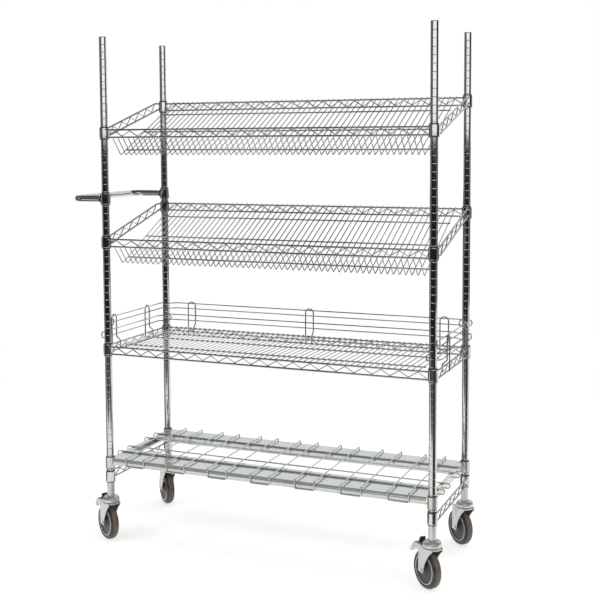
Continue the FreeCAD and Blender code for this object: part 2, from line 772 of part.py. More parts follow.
def fork_leg(braked):
    """One leg of the fork, cut from sheet: its leading edge sweeps in from the
    crown to the axle and its trailing edge hangs straight down. A braked castor
    has an ear for the pedal's pivot."""
    inner = FORK_INNER_WIDTH / 2
    rear_x = WHEEL_TRAIL + FORK_REAR
    lead_x = -FORK_LEAD
    arch_z = CROWN_FOOT_Z - FORK_SKIRT

    def at(x, z):
        return Vector(x, inner, z)

    lip = at(lead_x, arch_z)
    waist = at(WHEEL_TRAIL - FORK_WAIST, AXLE_Z + FORK_WAIST)
    sweep = (lip + waist) / 2 + Vector(FORK_SWEEP, 0, 0)
    toe = at(WHEEL_TRAIL - FORK_TOE, AXLE_Z - FORK_TOE_DROP)
    heel = at(rear_x, AXLE_Z - FORK_HEEL_DROP)
    outline = [
        Part.makeLine(at(lead_x, CROWN_TOP_Z), lip),
        Part.Arc(lip, sweep, waist).toShape(),
        Part.makeLine(waist, toe),
        Part.makeLine(toe, heel),
        Part.makeLine(heel, at(rear_x, CROWN_TOP_Z)),
        Part.makeLine(at(rear_x, CROWN_TOP_Z), at(lead_x, CROWN_TOP_Z)),
    ]
    leg = Part.Face(Part.Wire(outline)).extrude(Y_AXIS * FORK_SHEET)
    if braked:
        pivot = Vector(PEDAL_PIVOT_X, inner, PEDAL_PIVOT_Z)
        ear = Part.makeCylinder(EAR_RADIUS, FORK_SHEET, pivot, Y_AXIS)
        link = Part.makeBox(PEDAL_PIVOT_X - rear_x, FORK_SHEET, 2 * EAR_RADIUS,
                            Vector(rear_x, inner, PEDAL_PIVOT_Z - EAR_RADIUS))
        hole = Part.makeCylinder(PEDAL_PIVOT_DIAMETER / 2 + SLEEVE_FIT, FORK_SHEET, pivot, Y_AXIS)
        leg = leg.fuse([ear, link]).cut(hole)
    axle_hole = Part.makeCylinder(AXLE_DIAMETER / 2 + SLEEVE_FIT, FORK_SHEET,
                                  Vector(WHEEL_TRAIL, inner, AXLE_Z), Y_AXIS)
    return leg.cut(axle_hole).removeSplitter()


def fork(braked):
    """Crown and two legs, free to swivel about the kingpin."""
    crown = rounded_head(HEAD_DIAMETER / 2, CROWN_HEIGHT, CROWN_ROUND, CROWN_FOOT_Z)
    width = FORK_INNER_WIDTH + 2 * FORK_SHEET
    length = FORK_LEAD + WHEEL_TRAIL + FORK_REAR
    bridge = Part.makeBox(length, width, CROWN_HEIGHT / 2, Vector(-FORK_LEAD, -width / 2, CROWN_FOOT_Z))
    legs = mirrored(fork_leg(braked), Y_AXIS)
    bore = Part.makeCylinder(KINGPIN_DIAMETER / 2 + RUNNING_FIT, CROWN_HEIGHT, Vector(0, 0, CROWN_FOOT_Z))
    return crown.fuse([bridge] + legs).cut(bore).removeSplitter()


def axle_bolt():
    """The axle through both legs, with a flat riveted head at each end."""
    outer = FORK_INNER_WIDTH / 2 + FORK_SHEET
    shank = Part.makeCylinder(AXLE_DIAMETER / 2, 2 * outer, Vector(WHEEL_TRAIL, -outer, AXLE_Z), Y_AXIS)
    heads = []
    for sign in (-1, 1):
        centre = Vector(WHEEL_TRAIL, sign * outer, AXLE_Z)
        heads.append(Part.makeCylinder(AXLE_HEAD / 2, AXLE_HEAD_HEIGHT, centre, Y_AXIS * sign))
    return shank.fuse(heads).removeSplitter()


def revolved(profile):
    """A closed outline of (radius, width) points turned about the axle."""
    points = [Vector(WHEEL_TRAIL, w, AXLE_Z + r) for r, w in profile]
    return polygon_face(points).revolve(Vector(WHEEL_TRAIL, 0, AXLE_Z), Y_AXIS, 360)


def tyre():
    """The tyre: a crowned tread with sloping shoulders."""
    half = WHEEL_WIDTH / 2
    bore = TYRE_BORE_RADIUS
    return revolved([
        (bore, -half + TYRE_SHOULDER),
        (WHEEL_RADIUS - TYRE_ROUND, -half),
        (WHEEL_RADIUS - TYRE_SHOULDER, -half + TYRE_SHOULDER),
        (WHEEL_RADIUS, -half + TYRE_ROUND),
        (WHEEL_RADIUS, half - TYRE_ROUND),
        (WHEEL_RADIUS - TYRE_SHOULDER, half - TYRE_SHOULDER),
        (WHEEL_RADIUS - TYRE_ROUND, half),
        (bore, half - TYRE_SHOULDER),
    ])


def hub():
    """The wheel's core: rim, dished web and boss around the bush."""
    rim = TYRE_BORE_RADIUS - SLEEVE_FIT
    inner_rim = rim - HUB_RIM
    boss = HUB_BOSS_DIAMETER / 2
    bore = BUSH_DIAMETER / 2 + SLEEVE_FIT
    half = WHEEL_WIDTH / 2
    edge = half - TYRE_SHOULDER
    web = HUB_WEB / 2
    profile = [
        (bore, -half),
        (boss, -half),
        (boss, -web),
        (inner_rim, -web),
        (inner_rim, -edge),
        (rim, -edge),
    ]
    profile += [(r, -w) for r, w in reversed(profile)]
    return revolved(profile)


def wheel_bush():
    """The bush in the hub, which turns on the axle."""
    half = FORK_INNER_WIDTH / 2 - BUSH_END_GAP
    start = Vector(WHEEL_TRAIL, -half, AXLE_Z)
    outer = Part.makeCylinder(BUSH_DIAMETER / 2, 2 * half, start, Y_AXIS)
    return outer.cut(Part.makeCylinder(AXLE_DIAMETER / 2 + RUNNING_FIT, 2 * half, start, Y_AXIS))


def brake_pedal():
    """A bent pedal plate on a barrel: its rounded tongue slopes out over the
    wheel, and its other end stands up as the release tab."""
    half = PEDAL_WIDTH / 2
    pivot = Vector(PEDAL_PIVOT_X, -half, PEDAL_PIVOT_Z)
    upper = PEDAL_PIVOT_Z + PEDAL_FOOT_RISE
    top = PEDAL_PIVOT_Z + PEDAL_TAB_RISE
    sheet = PEDAL_SHEET
    outline = [
        Vector(PEDAL_TAB_X, -half, top),
        Vector(PEDAL_FOOT_X, -half, upper),
        Vector(PEDAL_BEND_X, -half, upper - sheet),
        Vector(PEDAL_TIP_X, -half, PEDAL_PIVOT_Z - PEDAL_TIP_DROP),
        Vector(PEDAL_TIP_X - sheet, -half, PEDAL_PIVOT_Z - PEDAL_TIP_DROP - sheet),
        Vector(PEDAL_BEND_X - sheet / 2, -half, upper - 2 * sheet),
        Vector(PEDAL_FOOT_X - sheet / 2, -half, upper - sheet),
        Vector(PEDAL_TAB_X - sheet, -half, top),
    ]
    tail_x = PEDAL_TAB_X - sheet
    reach_x = PEDAL_TIP_X - half
    foot_z = PEDAL_PIVOT_Z - PEDAL_TIP_DROP - sheet
    flank = Part.makeBox(reach_x - tail_x, PEDAL_WIDTH, top - foot_z, Vector(tail_x, -half, foot_z))
    nose = Part.makeCylinder(half, top - foot_z, Vector(reach_x, 0, foot_z))
    plate = extruded(outline, Y_AXIS * PEDAL_WIDTH).common(flank.fuse(nose))
    barrel = Part.makeCylinder(PEDAL_BARREL / 2, PEDAL_WIDTH, pivot, Y_AXIS)
    web = Part.makeBox(PEDAL_BARREL, PEDAL_WIDTH, PEDAL_FOOT_RISE - 1.5 * sheet,
                       pivot - Vector(PEDAL_BARREL / 2, 0, 0))
    hole = Part.makeCylinder(PEDAL_PIVOT_DIAMETER / 2 + RUNNING_FIT, PEDAL_WIDTH, pivot, Y_AXIS)
    return plate.fuse([barrel, web]).cut(hole).removeSplitter()


def brake_pin():
    """The pin that the pedal turns on, held in the fork's ears."""
    half = FORK_INNER_WIDTH / 2 + FORK_SHEET
    start = Vector(PEDAL_PIVOT_X, -half, PEDAL_PIVOT_Z)
    return Part.makeCylinder(PEDAL_PIVOT_DIAMETER / 2, 2 * half, start, Y_AXIS)


def at_corner(shape, name, turned=True):
    """A castor piece turned to its rest angle and set under its post."""
    if turned:
        shape.rotate(ORIGIN, Z_AXIS, CASTOR_ANGLES[name])
    shape.translate(CORNERS[name])
    return shape


def sleeves_at(front_step, back_step):
    return [sleeve(place) for place in corner_points(step_z(front_step), step_z(back_step))]


def build():
    os.makedirs("parts", exist_ok=True)
    for name, corner in CORNERS.items():
        save("post_" + name, post(corner))
    save("post_caps", [post_cap(corner) for corner in CORNERS.values()])

    slopes = {"top": (STEP_TOP_FRONT, STEP_TOP_BACK), "middle": (STEP_MIDDLE_FRONT, STEP_MIDDLE_BACK)}
    for name, (front, back) in slopes.items():
        deck, lip = sloping_deck(step_z(front), step_z(back))
        save(name + "_shelf_frame", shelf_frame(step_z(front), step_z(back)))
        save(name + "_shelf_deck", deck)
        save(name + "_shelf_lip", lip)
        save(name + "_shelf_sleeves", sleeves_at(front, back))

    flat = step_z(STEP_FLAT_SHELF)
    save("flat_shelf_frame", shelf_frame(flat, flat))
    save("flat_shelf_deck", flat_deck(flat))
    save("flat_shelf_sleeves", sleeves_at(STEP_FLAT_SHELF, STEP_FLAT_SHELF))
    for side in ("left", "back", "right"):
        save("ledge_" + side, placed_ledge(side))

    front_panel, back_panel = mirrored(pressed_panel(), Y_AXIS)
    save("base_panel_front", front_panel)
    save("base_panel_back", back_panel)
    save("base_frame", base_frame())
    save("base_cross_wires", grid_pairs())
    save("base_long_wires", grid_long_wires())
    save("base_sleeves", sleeves_at(STEP_BASE, STEP_BASE))
    save("lower_frame", lower_frame())
    save("lower_frame_sleeves", sleeves_at(STEP_LOWER_FRAME, STEP_LOWER_FRAME))

    save("push_handle", push_handle())
    left = [CORNERS["front_left"], CORNERS["back_left"]]
    save("handle_sleeves", [sleeve(place + Vector(0, 0, step_z(STEP_HANDLE))) for place in left])

    save("swivel_bearings", [at_corner(swivel_bearing(), name) for name in CORNERS])
    for name in CORNERS:
        braked = name in BRAKED_CASTORS
        save("castor_stem_" + name, at_corner(castor_stem(), name))
        save("castor_fork_" + name, at_corner(fork(braked), name))
        save("axle_" + name, at_corner(axle_bolt(), name))
        save("tyre_" + name, at_corner(tyre(), name))
        save("wheel_hub_" + name, at_corner(hub(), name))
        save("wheel_bush_" + name, at_corner(wheel_bush(), name))
        if braked:
            save("brake_pedal_" + name, at_corner(brake_pedal(), name))
            save("brake_pin_" + name, at_corner(brake_pin(), name))


build()
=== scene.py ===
"""Dresses the order picking trolley: chromed posts and wires, a zinc base, castors and a studio."""
import json
import math

import bmesh
import bpy
from bpy.props import FloatProperty, FloatVectorProperty, IntProperty, PointerProperty
from mathutils import Matrix, Quaternion, Vector


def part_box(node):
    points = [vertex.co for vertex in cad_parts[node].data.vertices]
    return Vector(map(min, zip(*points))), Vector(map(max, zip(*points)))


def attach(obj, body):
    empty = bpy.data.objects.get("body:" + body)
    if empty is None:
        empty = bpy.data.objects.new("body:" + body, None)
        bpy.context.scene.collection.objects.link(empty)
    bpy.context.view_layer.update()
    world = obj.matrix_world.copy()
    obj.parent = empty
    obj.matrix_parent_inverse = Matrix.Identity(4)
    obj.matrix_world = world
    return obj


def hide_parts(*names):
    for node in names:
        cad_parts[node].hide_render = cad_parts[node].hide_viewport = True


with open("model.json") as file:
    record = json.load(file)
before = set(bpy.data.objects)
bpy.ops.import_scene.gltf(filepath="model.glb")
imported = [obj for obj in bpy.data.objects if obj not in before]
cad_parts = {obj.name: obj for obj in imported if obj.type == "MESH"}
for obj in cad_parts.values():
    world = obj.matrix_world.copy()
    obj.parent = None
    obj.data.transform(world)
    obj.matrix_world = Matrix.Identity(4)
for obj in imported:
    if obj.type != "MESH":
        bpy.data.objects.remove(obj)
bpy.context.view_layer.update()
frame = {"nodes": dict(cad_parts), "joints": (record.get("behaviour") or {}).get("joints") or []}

bl_info = {
    "name": "Order Picking Trolley",
    "version": (1, 0, 0),
    "blender": (4, 5, 0),
    "location": "View3D > Sidebar > Trolley",
    "description": "Builds the finish of a wire shelf trolley around its packed frame",
    "category": "Object",
}

MM = 0.001
X_AXIS = Vector((1, 0, 0))
Z_AXIS = Vector((0, 0, 1))
CORNERS = ("front_left", "front_right", "back_left", "back_right")
BRAKED = ("front_left", "front_right")

# Places read from the frame


def middle(node):
    """Centre of a node's box."""
    low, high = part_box(node)
    return (low + high) / 2


def extent(node):
    """Sides of a node's box."""
    low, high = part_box(node)
    return high - low


POSTS = {name: middle("post_" + name) for name in CORNERS}
POST_X = POSTS["front_right"].x
POST_Y = POSTS["back_right"].y
POST_RADIUS = extent("post_front_left").x / 2
POST_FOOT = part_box("post_front_left")[0].z
POST_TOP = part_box("post_front_left")[1].z
SLEEVE_HEIGHT = extent("flat_shelf_sleeves").z


def on_post(name, z=0.0):
    """A point on a post's axis."""
    return Vector((POSTS[name].x, POSTS[name].y, z))


def levels(shelf):
    """Heights of a shelf's front and back collars."""
    low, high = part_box(shelf + "_sleeves")
    return low.z + SLEEVE_HEIGHT / 2, high.z - SLEEVE_HEIGHT / 2


def joint(name):
    """The frame's joint of that name."""
    return next(row for row in frame["joints"] if row["name"] == name)


# Sizes and colours that a user would change


def measure(name, description, millimetres):
    """A length property."""
    return FloatProperty(name=name, description=description, default=millimetres * MM, unit="LENGTH")


def paint(name, description, default):
    """A colour property."""
    return FloatVectorProperty(
        name=name, description=description, default=default, subtype="COLOR", size=3, min=0, max=1)


class TrolleySizes(bpy.types.PropertyGroup):
    """Sizes of the trolley's wires and tubes"""

    groove_pitch: measure("Groove pitch", "Distance between the posts' ring grooves", 25.4)
    groove_depth: measure("Groove depth", "Depth of the posts' ring grooves", 0.24)
    groove_width: measure("Groove width", "Width of the posts' ring grooves", 1.8)
    rail_diameter: measure("Rail diameter", "Diameter of the shelf trusses' rails", 6.0)
    rail_rise: measure("Rail rise", "Height of a truss's upper rail above its collars' middle", 11.0)
    rail_drop: measure("Rail drop", "Depth of a truss's lower rail below its collars' middle", 14.5)
    slope_rail_drop: measure(
        "Slope rail drop", "Depth of a climbing truss's lower rail below its collars' middle", 8.5)
    rail_outset: measure("Rail outset", "Distance of the rails outside the line of the posts", 9.5)
    rail_level_run: measure("Level run", "Level stretch of a climbing side rail beside its collar", 28.0)
    zigzag_diameter: measure("Zigzag diameter", "Diameter of the wire between a truss's rails", 3.6)
    zigzag_pitch: measure("Zigzag pitch", "Length of one wave of the zigzag wire", 60.6)
    zigzag_bend: measure("Zigzag bend", "Radius of the zigzag wire's bends", 6.0)
    deck_diameter: measure("Deck wire diameter", "Diameter of the decks' cross wires", 3.2)
    deck_count: IntProperty(
        name="Deck wires", description="Number of cross wires in a deck", default=55, min=2)
    deck_pitch: measure("Deck pitch", "Distance between a deck's cross wires", 20.37)
    deck_overhang: measure("Deck overhang", "Length of cross wire past a rail", 3.0)
    support_diameter: measure("Support diameter", "Diameter of the lengthwise wires under the decks", 5.0)
    slope_support_spacing: measure(
        "Slope support spacing", "Distance between a sloping deck's supports", 128.5)
    flat_support_spacing: measure(
        "Flat support spacing", "Distance between the flat deck's supports", 157.0)
    trough_depth: measure("Trough depth", "Depth of the trough's bend below the front collars", 76.3)
    trough_setback: measure("Trough setback", "Distance of the trough's bend behind the front rail", 50.0)
    trough_bend: measure("Trough bend", "Radius of the cross wires' bend in the trough", 4.0)
    collar_diameter: measure("Collar diameter", "Outer diameter of the corner collars", 34.0)
    collar_height: measure("Collar height", "Height of the corner collars", 38.0)
    grid_diameter: measure("Grid wire diameter", "Diameter of the base grid's wires", 5.0)
    grid_bend: measure("Grid bend", "Radius of the base grid's bends", 4.5)
    ledge_rod_diameter: measure("Ledge rod diameter", "Diameter of the ledges' loops", 4.0)
    ledge_clip_diameter: measure("Ledge clip diameter", "Diameter of the ledges' clips", 4.5)
    handle_diameter: measure("Handle diameter", "Diameter of the push handle's tube", 22.0)
    handle_bend: measure("Handle bend", "Radius of the push handle's bends", 45.0)


class TrolleyColours(bpy.types.PropertyGroup):
    """Colours of the trolley's finishes"""

    chrome: paint("Chrome", "Colour of the chromed tube", (0.62, 0.612, 0.60))
    wire: paint("Wire", "Colour of the shelves' chromed wire", (0.44, 0.44, 0.44))
    zinc: paint("Zinc", "Colour of the zinc-plated sheet", (0.50, 0.526, 0.502))
    grid: paint("Grid", "Colour of the base grid's plated wire", (0.60, 0.625, 0.64))
    castor: paint("Castor zinc", "Colour of the castors' zinc plate", (0.575, 0.59, 0.58))
    sleeve: paint("Sleeve", "Colour of the sleeves and release blocks", (0.022, 0.022, 0.024))
    tyre: paint("Tyre", "Colour of the tyres' sides", (0.018, 0.016, 0.016))
    tread: paint("Tread", "Colour of the tyres' dusty tread", (0.078, 0.062, 0.050))
    hub: paint("Hub", "Colour of the wheels' moulded core", (0.032, 0.030, 0.030))
    rim: paint("Rim line", "Colour of the pale line around the hub", (0.55, 0.53, 0.54))


def sizes():
    """The sizes that the scene holds."""
    return bpy.context.scene.trolley_sizes


def colours():
    """The colours that the scene holds."""
    return bpy.context.scene.trolley_colours


# Finishes


def add_node(tree, kind, feeds, **settings):
    """A new node; feeds gives its sockets numbers, colours or the outputs of other nodes."""
    node = tree.nodes.new(kind)
    for key, value in settings.items():
        setattr(node, key, value)
    for socket, value in feeds.items():
        if isinstance(value, bpy.types.NodeSocket):
            tree.links.new(value, node.inputs[socket])
        else:
            node.inputs[socket].default_value = value
    return node


def shaded(colour, share):
    """The colour made darker or lighter by a share."""
    return tuple(min(1.0, c * share) for c in colour)


class Coat:
    """A material whose shader is fed by patterns that lie in the piece itself."""

    def __init__(self, name, mirror=0.0):
        self.material = bpy.data.materials.new(name)
        self.material.use_nodes = True
        self.tree = self.material.node_tree
        self.shader = self.tree.nodes["Principled BSDF"]
        self.shader.inputs["Metallic"].default_value = mirror
        self.place = add_node(self.tree, "ShaderNodeTexCoord", {}).outputs["Object"]

    def feed(self, output, socket):
        """Leads an output to one of the shader's sockets."""
        self.tree.links.new(output, self.shader.inputs[socket])

    def noise(self, scale, detail=3.0):
        """A cloudy pattern."""
        feeds = {"Vector": self.place, "Scale": scale, "Detail": detail}
        return add_node(self.tree, "ShaderNodeTexNoise", feeds).outputs["Fac"]

    def crystals(self, scale):
        """A pattern of cells, each with its own shade."""
        feeds = {"Vector": self.place, "Scale": scale}
        return add_node(self.tree, "ShaderNodeTexVoronoi", feeds).outputs["Color"]

    def ramp(self, pattern, low, high, start=0.3, stop=0.7):
        """A blend between two colours."""
        node = add_node(self.tree, "ShaderNodeValToRGB", {"Fac": pattern})
        for element, position, tint in zip(node.color_ramp.elements, (start, stop), (low, high)):
            element.position = position
            element.color = (*tint, 1)
        return node.outputs["Color"]

    def tint(self, pattern, colour, darkest, lightest):
        """The colour made darker and lighter by the pattern."""
        return self.ramp(pattern, shaded(colour, darkest), shaded(colour, lightest))

    def veil(self, under, over, share):
        """One colour laid over another, which it darkens by a share."""
        feeds = {"Factor": share, "A": under, "B": over}
        node = add_node(self.tree, "ShaderNodeMix", feeds, data_type="RGBA", blend_type="MULTIPLY")
        return node.outputs["Result"]

    def gloss(self, pattern, smoothest, roughest):
        """Roughness that follows a pattern."""
        feeds = {"Value": pattern, "To Min": smoothest, "To Max": roughest}
        node = add_node(self.tree, "ShaderNodeMapRange", feeds)
        self.feed(node.outputs["Result"], "Roughness")

    def bump(self, pattern, strength, depth):
        """Fine relief that follows a pattern."""
        feeds = {"Height": pattern, "Strength": strength, "Distance": depth}
        self.feed(add_node(self.tree, "ShaderNodeBump", feeds).outputs["Normal"], "Normal")


def chrome_finish(name, colour):
    """Bright plate with faint clouds and handling marks."""
    coat = Coat(name, mirror=1.0)
    cloud = coat.noise(scale=34.0)
    smear = coat.noise(scale=140.0, detail=5.0)
    coat.feed(coat.tint(cloud, colour, darkest=0.92, lightest=1.05), "Base Color")
    coat.gloss(smear, smoothest=0.05, roughest=0.13)
    coat.bump(smear, strength=0.03, depth=0.2 * MM)
    return coat.material


def zinc_finish(name, colour, cell, rough, mirror):
    """Zinc plate: a faint crystal pattern, soft clouds and a satin gloss."""
    coat = Coat(name, mirror)
    cloud = coat.noise(scale=7.0)
    tint = coat.tint(cloud, colour, darkest=0.94, lightest=1.05)
    pale = coat.ramp(coat.crystals(cell), (0.94, 0.95, 0.94), (1.0, 1.0, 1.0), start=0.1, stop=0.9)
    coat.feed(coat.veil(tint, pale, share=0.5), "Base Color")
    coat.gloss(cloud, smoothest=rough - 0.05, roughest=rough + 0.05)
    coat.bump(cloud, strength=0.03, depth=0.5 * MM)
    return coat.material


def plastic_finish(name, colour, grain, rough):
    """Moulded plastic with a fine grain and rubbed patches."""
    coat = Coat(name)
    patch = coat.noise(scale=26.0)
    coat.feed(coat.tint(patch, colour, darkest=0.85, lightest=1.3), "Base Color")
    coat.gloss(patch, smoothest=rough - 0.08, roughest=rough + 0.08)
    coat.bump(coat.noise(scale=grain, detail=2.0), strength=0.12, depth=0.1 * MM)
    return coat.material


def rubber_finish(name, colour, rough):
    """Solid rubber with scuffs and settled dust."""
    coat = Coat(name)
    dust = coat.noise(scale=48.0, detail=6.0)
    coat.feed(coat.tint(dust, colour, darkest=0.82, lightest=1.25), "Base Color")
    coat.gloss(dust, smoothest=rough - 0.07, roughest=rough + 0.10)
    coat.bump(coat.noise(scale=420.0, detail=2.0), strength=0.10, depth=0.15 * MM)
    return coat.material


STEEL_SHADE = 0.85
FINISHES = {
    "chrome": lambda: chrome_finish("tube_chrome", colours().chrome),
    "wire": lambda: chrome_finish("wire_chrome", colours().wire),
    "zinc": lambda: zinc_finish("base_zinc_plate", colours().zinc, cell=95.0, rough=0.15, mirror=0.76),
    "grid": lambda: zinc_finish("grid_zinc_plate", colours().grid, cell=240.0, rough=0.24, mirror=0.85),
    "castor": lambda: zinc_finish(
        "castor_zinc_plate", colours().castor, cell=190.0, rough=0.30, mirror=0.86),
    "steel": lambda: zinc_finish(
        "turned_steel", shaded(colours().castor, STEEL_SHADE), cell=420.0, rough=0.30, mirror=1.0),
    "sleeve": lambda: plastic_finish("sleeve_plastic", colours().sleeve, grain=900.0, rough=0.45),
    "hub": lambda: plastic_finish("hub_plastic", colours().hub, grain=700.0, rough=0.42),
    "rim": lambda: plastic_finish("rim_line_plastic", colours().rim, grain=700.0, rough=0.40),
    "tyre": lambda: rubber_finish("tyre_rubber", colours().tyre, rough=0.27),
    "tread": lambda: rubber_finish("tread_rubber", colours().tread, rough=0.46),
}
made_finishes = {}


def finish(name):
    """The finish of that name, made once."""
    if name not in made_finishes:
        made_finishes[name] = FINISHES[name]()
    return made_finishes[name]


# Shapes

# Sides of round sections
WIRE_SIDES = 8
ROD_SIDES = 10
RAIL_SIDES = 12
HANDLE_SIDES = 32

# A wire's rounded end, as shares of its radius
END_INSET = 0.3
END_RADIUS = 0.72

# A weld bead's steps from pole to pole, and the share of them that its flat poles take
BEAD_STEPS = 5
BEAD_SEGMENTS = 10
BEAD_POLE = 0.06

# Share of a straight run that a bend may take
BEND_ROOM = 0.48

# Angles in degrees
CRISP_ANGLE = 32
NODE_CRISP_ANGLE = 30
ROUNDED_ANGLE = 40
FLAT_ANGLE = 1
STRAIGHT_HALF_ANGLE = 89.5

# Rounded edges of a node's copy
ROUNDED_SEGMENTS = 2
MERGE_DISTANCE = 0.01 * MM


class Shape:
    """Collects wires, bars and turned forms into one mesh."""

    def __init__(self):
        self.points = []
        self.faces = []
        self.face_slots = []
        self.slot = 0

    def skin(self, loops, closed=False, slots=None):
        """A surface through loops of points, capped where it is open; slots gives each band its finish."""
        start = len(self.points)
        count = len(loops)
        sides = len(loops[0])
        for loop in loops:
            self.points.extend(loop)
        for i in range(count if closed else count - 1):
            here = start + i * sides
            there = start + (i + 1) % count * sides
            for k in range(sides):
                n = (k + 1) % sides
                self.faces.append((here + k, here + n, there + n, there + k))
            self.face_slots += [slots[i] if slots else self.slot] * sides
        if not closed:
            last = start + (count - 1) * sides
            self.faces.append(tuple(start + k for k in reversed(range(sides))))
            self.faces.append(tuple(last + k for k in range(sides)))
            self.face_slots += [self.slot] * 2

    @staticmethod
    def circle(ring, sides):
        """Points around a ring, which is its centre, two directions and its radius."""
        centre, first, second, radius = ring
        points = []
        for k in range(sides):
            angle = 2 * math.pi * k / sides
            out = first * math.cos(angle) + second * math.sin(angle)
            points.append(centre + out * radius)
        return points

    @staticmethod
    def untwisted(rings, tangents):
        """Rings of a closed tube, each turned a little so that the last meets the first."""
        final = tangents[-1].rotation_difference(tangents[0]) @ rings[-1][1]
        twist = math.atan2(final.dot(rings[0][2]), final.dot(rings[0][1]))
        even = []
        for i, (centre, first, second, radius) in enumerate(rings):
            turn = Quaternion(tangents[i], -twist * i / len(rings))
            even.append((centre, turn @ first, turn @ second, radius))
        return even

    def tube(self, route, radius, sides, closed=False):
        """A round wire or tube along a route, with slightly rounded ends."""
        count = len(route)
        tangents = []
        for i in range(count):
            before = route[i - 1] if closed or i else route[0]
            after = route[(i + 1) % count] if closed or i + 1 < count else route[-1]
            tangents.append((after - before).normalized())
        side = tangents[0].orthogonal().normalized()
        rings = []
        for i in range(count):
            if i:
                turn = tangents[i - 1].rotation_difference(tangents[i])
                side = (turn @ side).normalized()
            rings.append((route[i], side, tangents[i].cross(side), radius))
        if closed:
            rings = self.untwisted(rings, tangents)
        else:
            inset = END_INSET * radius
            rings.insert(1, (route[0] + tangents[0] * inset,) + rings[0][1:])
            rings.insert(-1, (route[-1] - tangents[-1] * inset,) + rings[-1][1:])
            for end in (0, -1):
                rings[end] = rings[end][:3] + (END_RADIUS * radius,)
        self.skin([self.circle(ring, sides) for ring in rings], closed)

    def strap(self, route, across, halves, thickness, edge):
        """A bent flat bar with chamfered edges; halves is its half width at each point."""
        loops = []
        count = len(route)
        for i, point in enumerate(route):
            tangent = (route[min(i + 1, count - 1)] - route[max(i - 1, 0)]).normalized()
            up = tangent.cross(across) * (thickness / 2)
            side = across * halves[i]
            cut = across * min(edge, halves[i] / 2)
            low = up * (1 - 2 * edge / thickness)
            quarter = [side - cut + up, side + low, side - low, side - cut - up]
            loops.append([point + offset for offset in quarter] + [point - offset for offset in quarter])
        self.skin(loops)

    def turned(self, profile, centre, axis=Z_AXIS, segments=40, closed=False, slots=None):
        """A form turned about an axis; profile is (radius, height) along it."""
        first = axis.orthogonal().normalized()
        second = axis.cross(first)
        rings = [(centre + axis * height, first, second, radius) for radius, height in profile]
        self.skin([self.circle(ring, segments) for ring in rings], closed, slots)

    def bead(self, centre, radius):
        """A small round weld bead with flat poles."""
        profile = []
        for k in range(BEAD_STEPS + 1):
            angle = math.pi * (BEAD_POLE + (1 - 2 * BEAD_POLE) * k / BEAD_STEPS)
            profile.append((radius * math.sin(angle), -radius * math.cos(angle)))
        self.turned(profile, centre, segments=BEAD_SEGMENTS)

    def piece(self, name, finishes, body, slot, nodes, crisp=CRISP_ANGLE):
        """Makes the object, gives it its finishes and lets it ride on its body."""
        mesh = bpy.data.meshes.new(name)
        mesh.from_pydata(self.points, [], self.faces)
        for key in finishes:
            mesh.materials.append(finish(key))
        mesh.polygons.foreach_set("material_index", self.face_slots)
        form = bmesh.new()
        form.from_mesh(mesh)
        bmesh.ops.recalc_face_normals(form, faces=form.faces)
        form.to_mesh(mesh)
        form.free()
        smooth(mesh, crisp)
        settle(name, mesh, body, nodes)


def smooth(mesh, crisp):
    """Smooth shading, with edges past an angle left crisp."""
    mesh.shade_smooth()
    mesh.set_sharp_from_angle(angle=math.radians(crisp))


def settle(name, mesh, body, nodes):
    """Makes a mesh's object, which rides on its body in place of its nodes."""
    piece = bpy.data.objects.new(name, mesh)
    bpy.context.scene.collection.objects.link(piece)
    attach(piece, body)
    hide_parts(*nodes)
    return piece


def dress(nodes, key):
    """Gives carried-over nodes a finish."""
    for node in nodes:
        mesh = frame["nodes"][node].data
        mesh.materials.clear()
        mesh.materials.append(finish(key))
        smooth(mesh, NODE_CRISP_ANGLE)


def softened(node, name, key, body, width):
    """A copy of a node with its sharp edges rounded."""
    mesh = frame["nodes"][node].data.copy()
    mesh.name = name
    form = bmesh.new()
    form.from_mesh(mesh)
    bmesh.ops.remove_doubles(form, verts=form.verts, dist=MERGE_DISTANCE)
    flat = math.radians(FLAT_ANGLE)
    bmesh.ops.dissolve_limit(form, angle_limit=flat, verts=form.verts, edges=form.edges)
    form.to_mesh(mesh)
    form.free()
    mesh.materials.clear()
    mesh.materials.append(finish(key))
    smooth(mesh, ROUNDED_ANGLE)
    piece = settle(name, mesh, body, [node])
    rounding = piece.modifiers.new("rounded edges", "BEVEL")
    rounding.width = width
    rounding.segments = ROUNDED_SEGMENTS
    rounding.limit_method = "ANGLE"
    rounding.angle_limit = math.radians(ROUNDED_ANGLE)


def bent(points, bend, steps=5):
    """The route with each corner rounded by an arc."""
    route = [points[0]]
    for last, point, following in zip(points, points[1:], points[2:]):
        before = last - point
        after = following - point
        half = before.angle(after) / 2
        if half > math.radians(STRAIGHT_HALF_ANGLE):
            route.append(point)
            continue
        cut = min(bend / math.tan(half), BEND_ROOM * before.length, BEND_ROOM * after.length)
        radius = cut * math.tan(half)
        before.normalize()
        after.normalize()
        centre = point + (before + after).normalized() * (radius / math.sin(half))
        arm = point + before * cut - centre
        other = point + after * cut - centre
        axis = arm.cross(other).normalized()
        sweep = arm.angle(other)
        for k in range(steps + 1):
            route.append(centre + Quaternion(axis, sweep * k / steps) @ arm)
    return route + [points[-1]]


def arc(centre, radius, first, second, start, stop, steps):
    """Points of an arc in the plane of two directions, in degrees."""
    points = []
    for k in range(steps + 1):
        angle = math.radians(start + (stop - start) * k / steps)
        points.append(centre + first * (radius * math.cos(angle)) + second * (radius * math.sin(angle)))
    return points


def mirrored(side):
    """The other side of a half section, in the opposite order."""
    return [(radius, -height) for radius, height in reversed(side)]


# Posts

POST_CRISP_ANGLE = 60
CAP_EDGE = 0.8 * MM

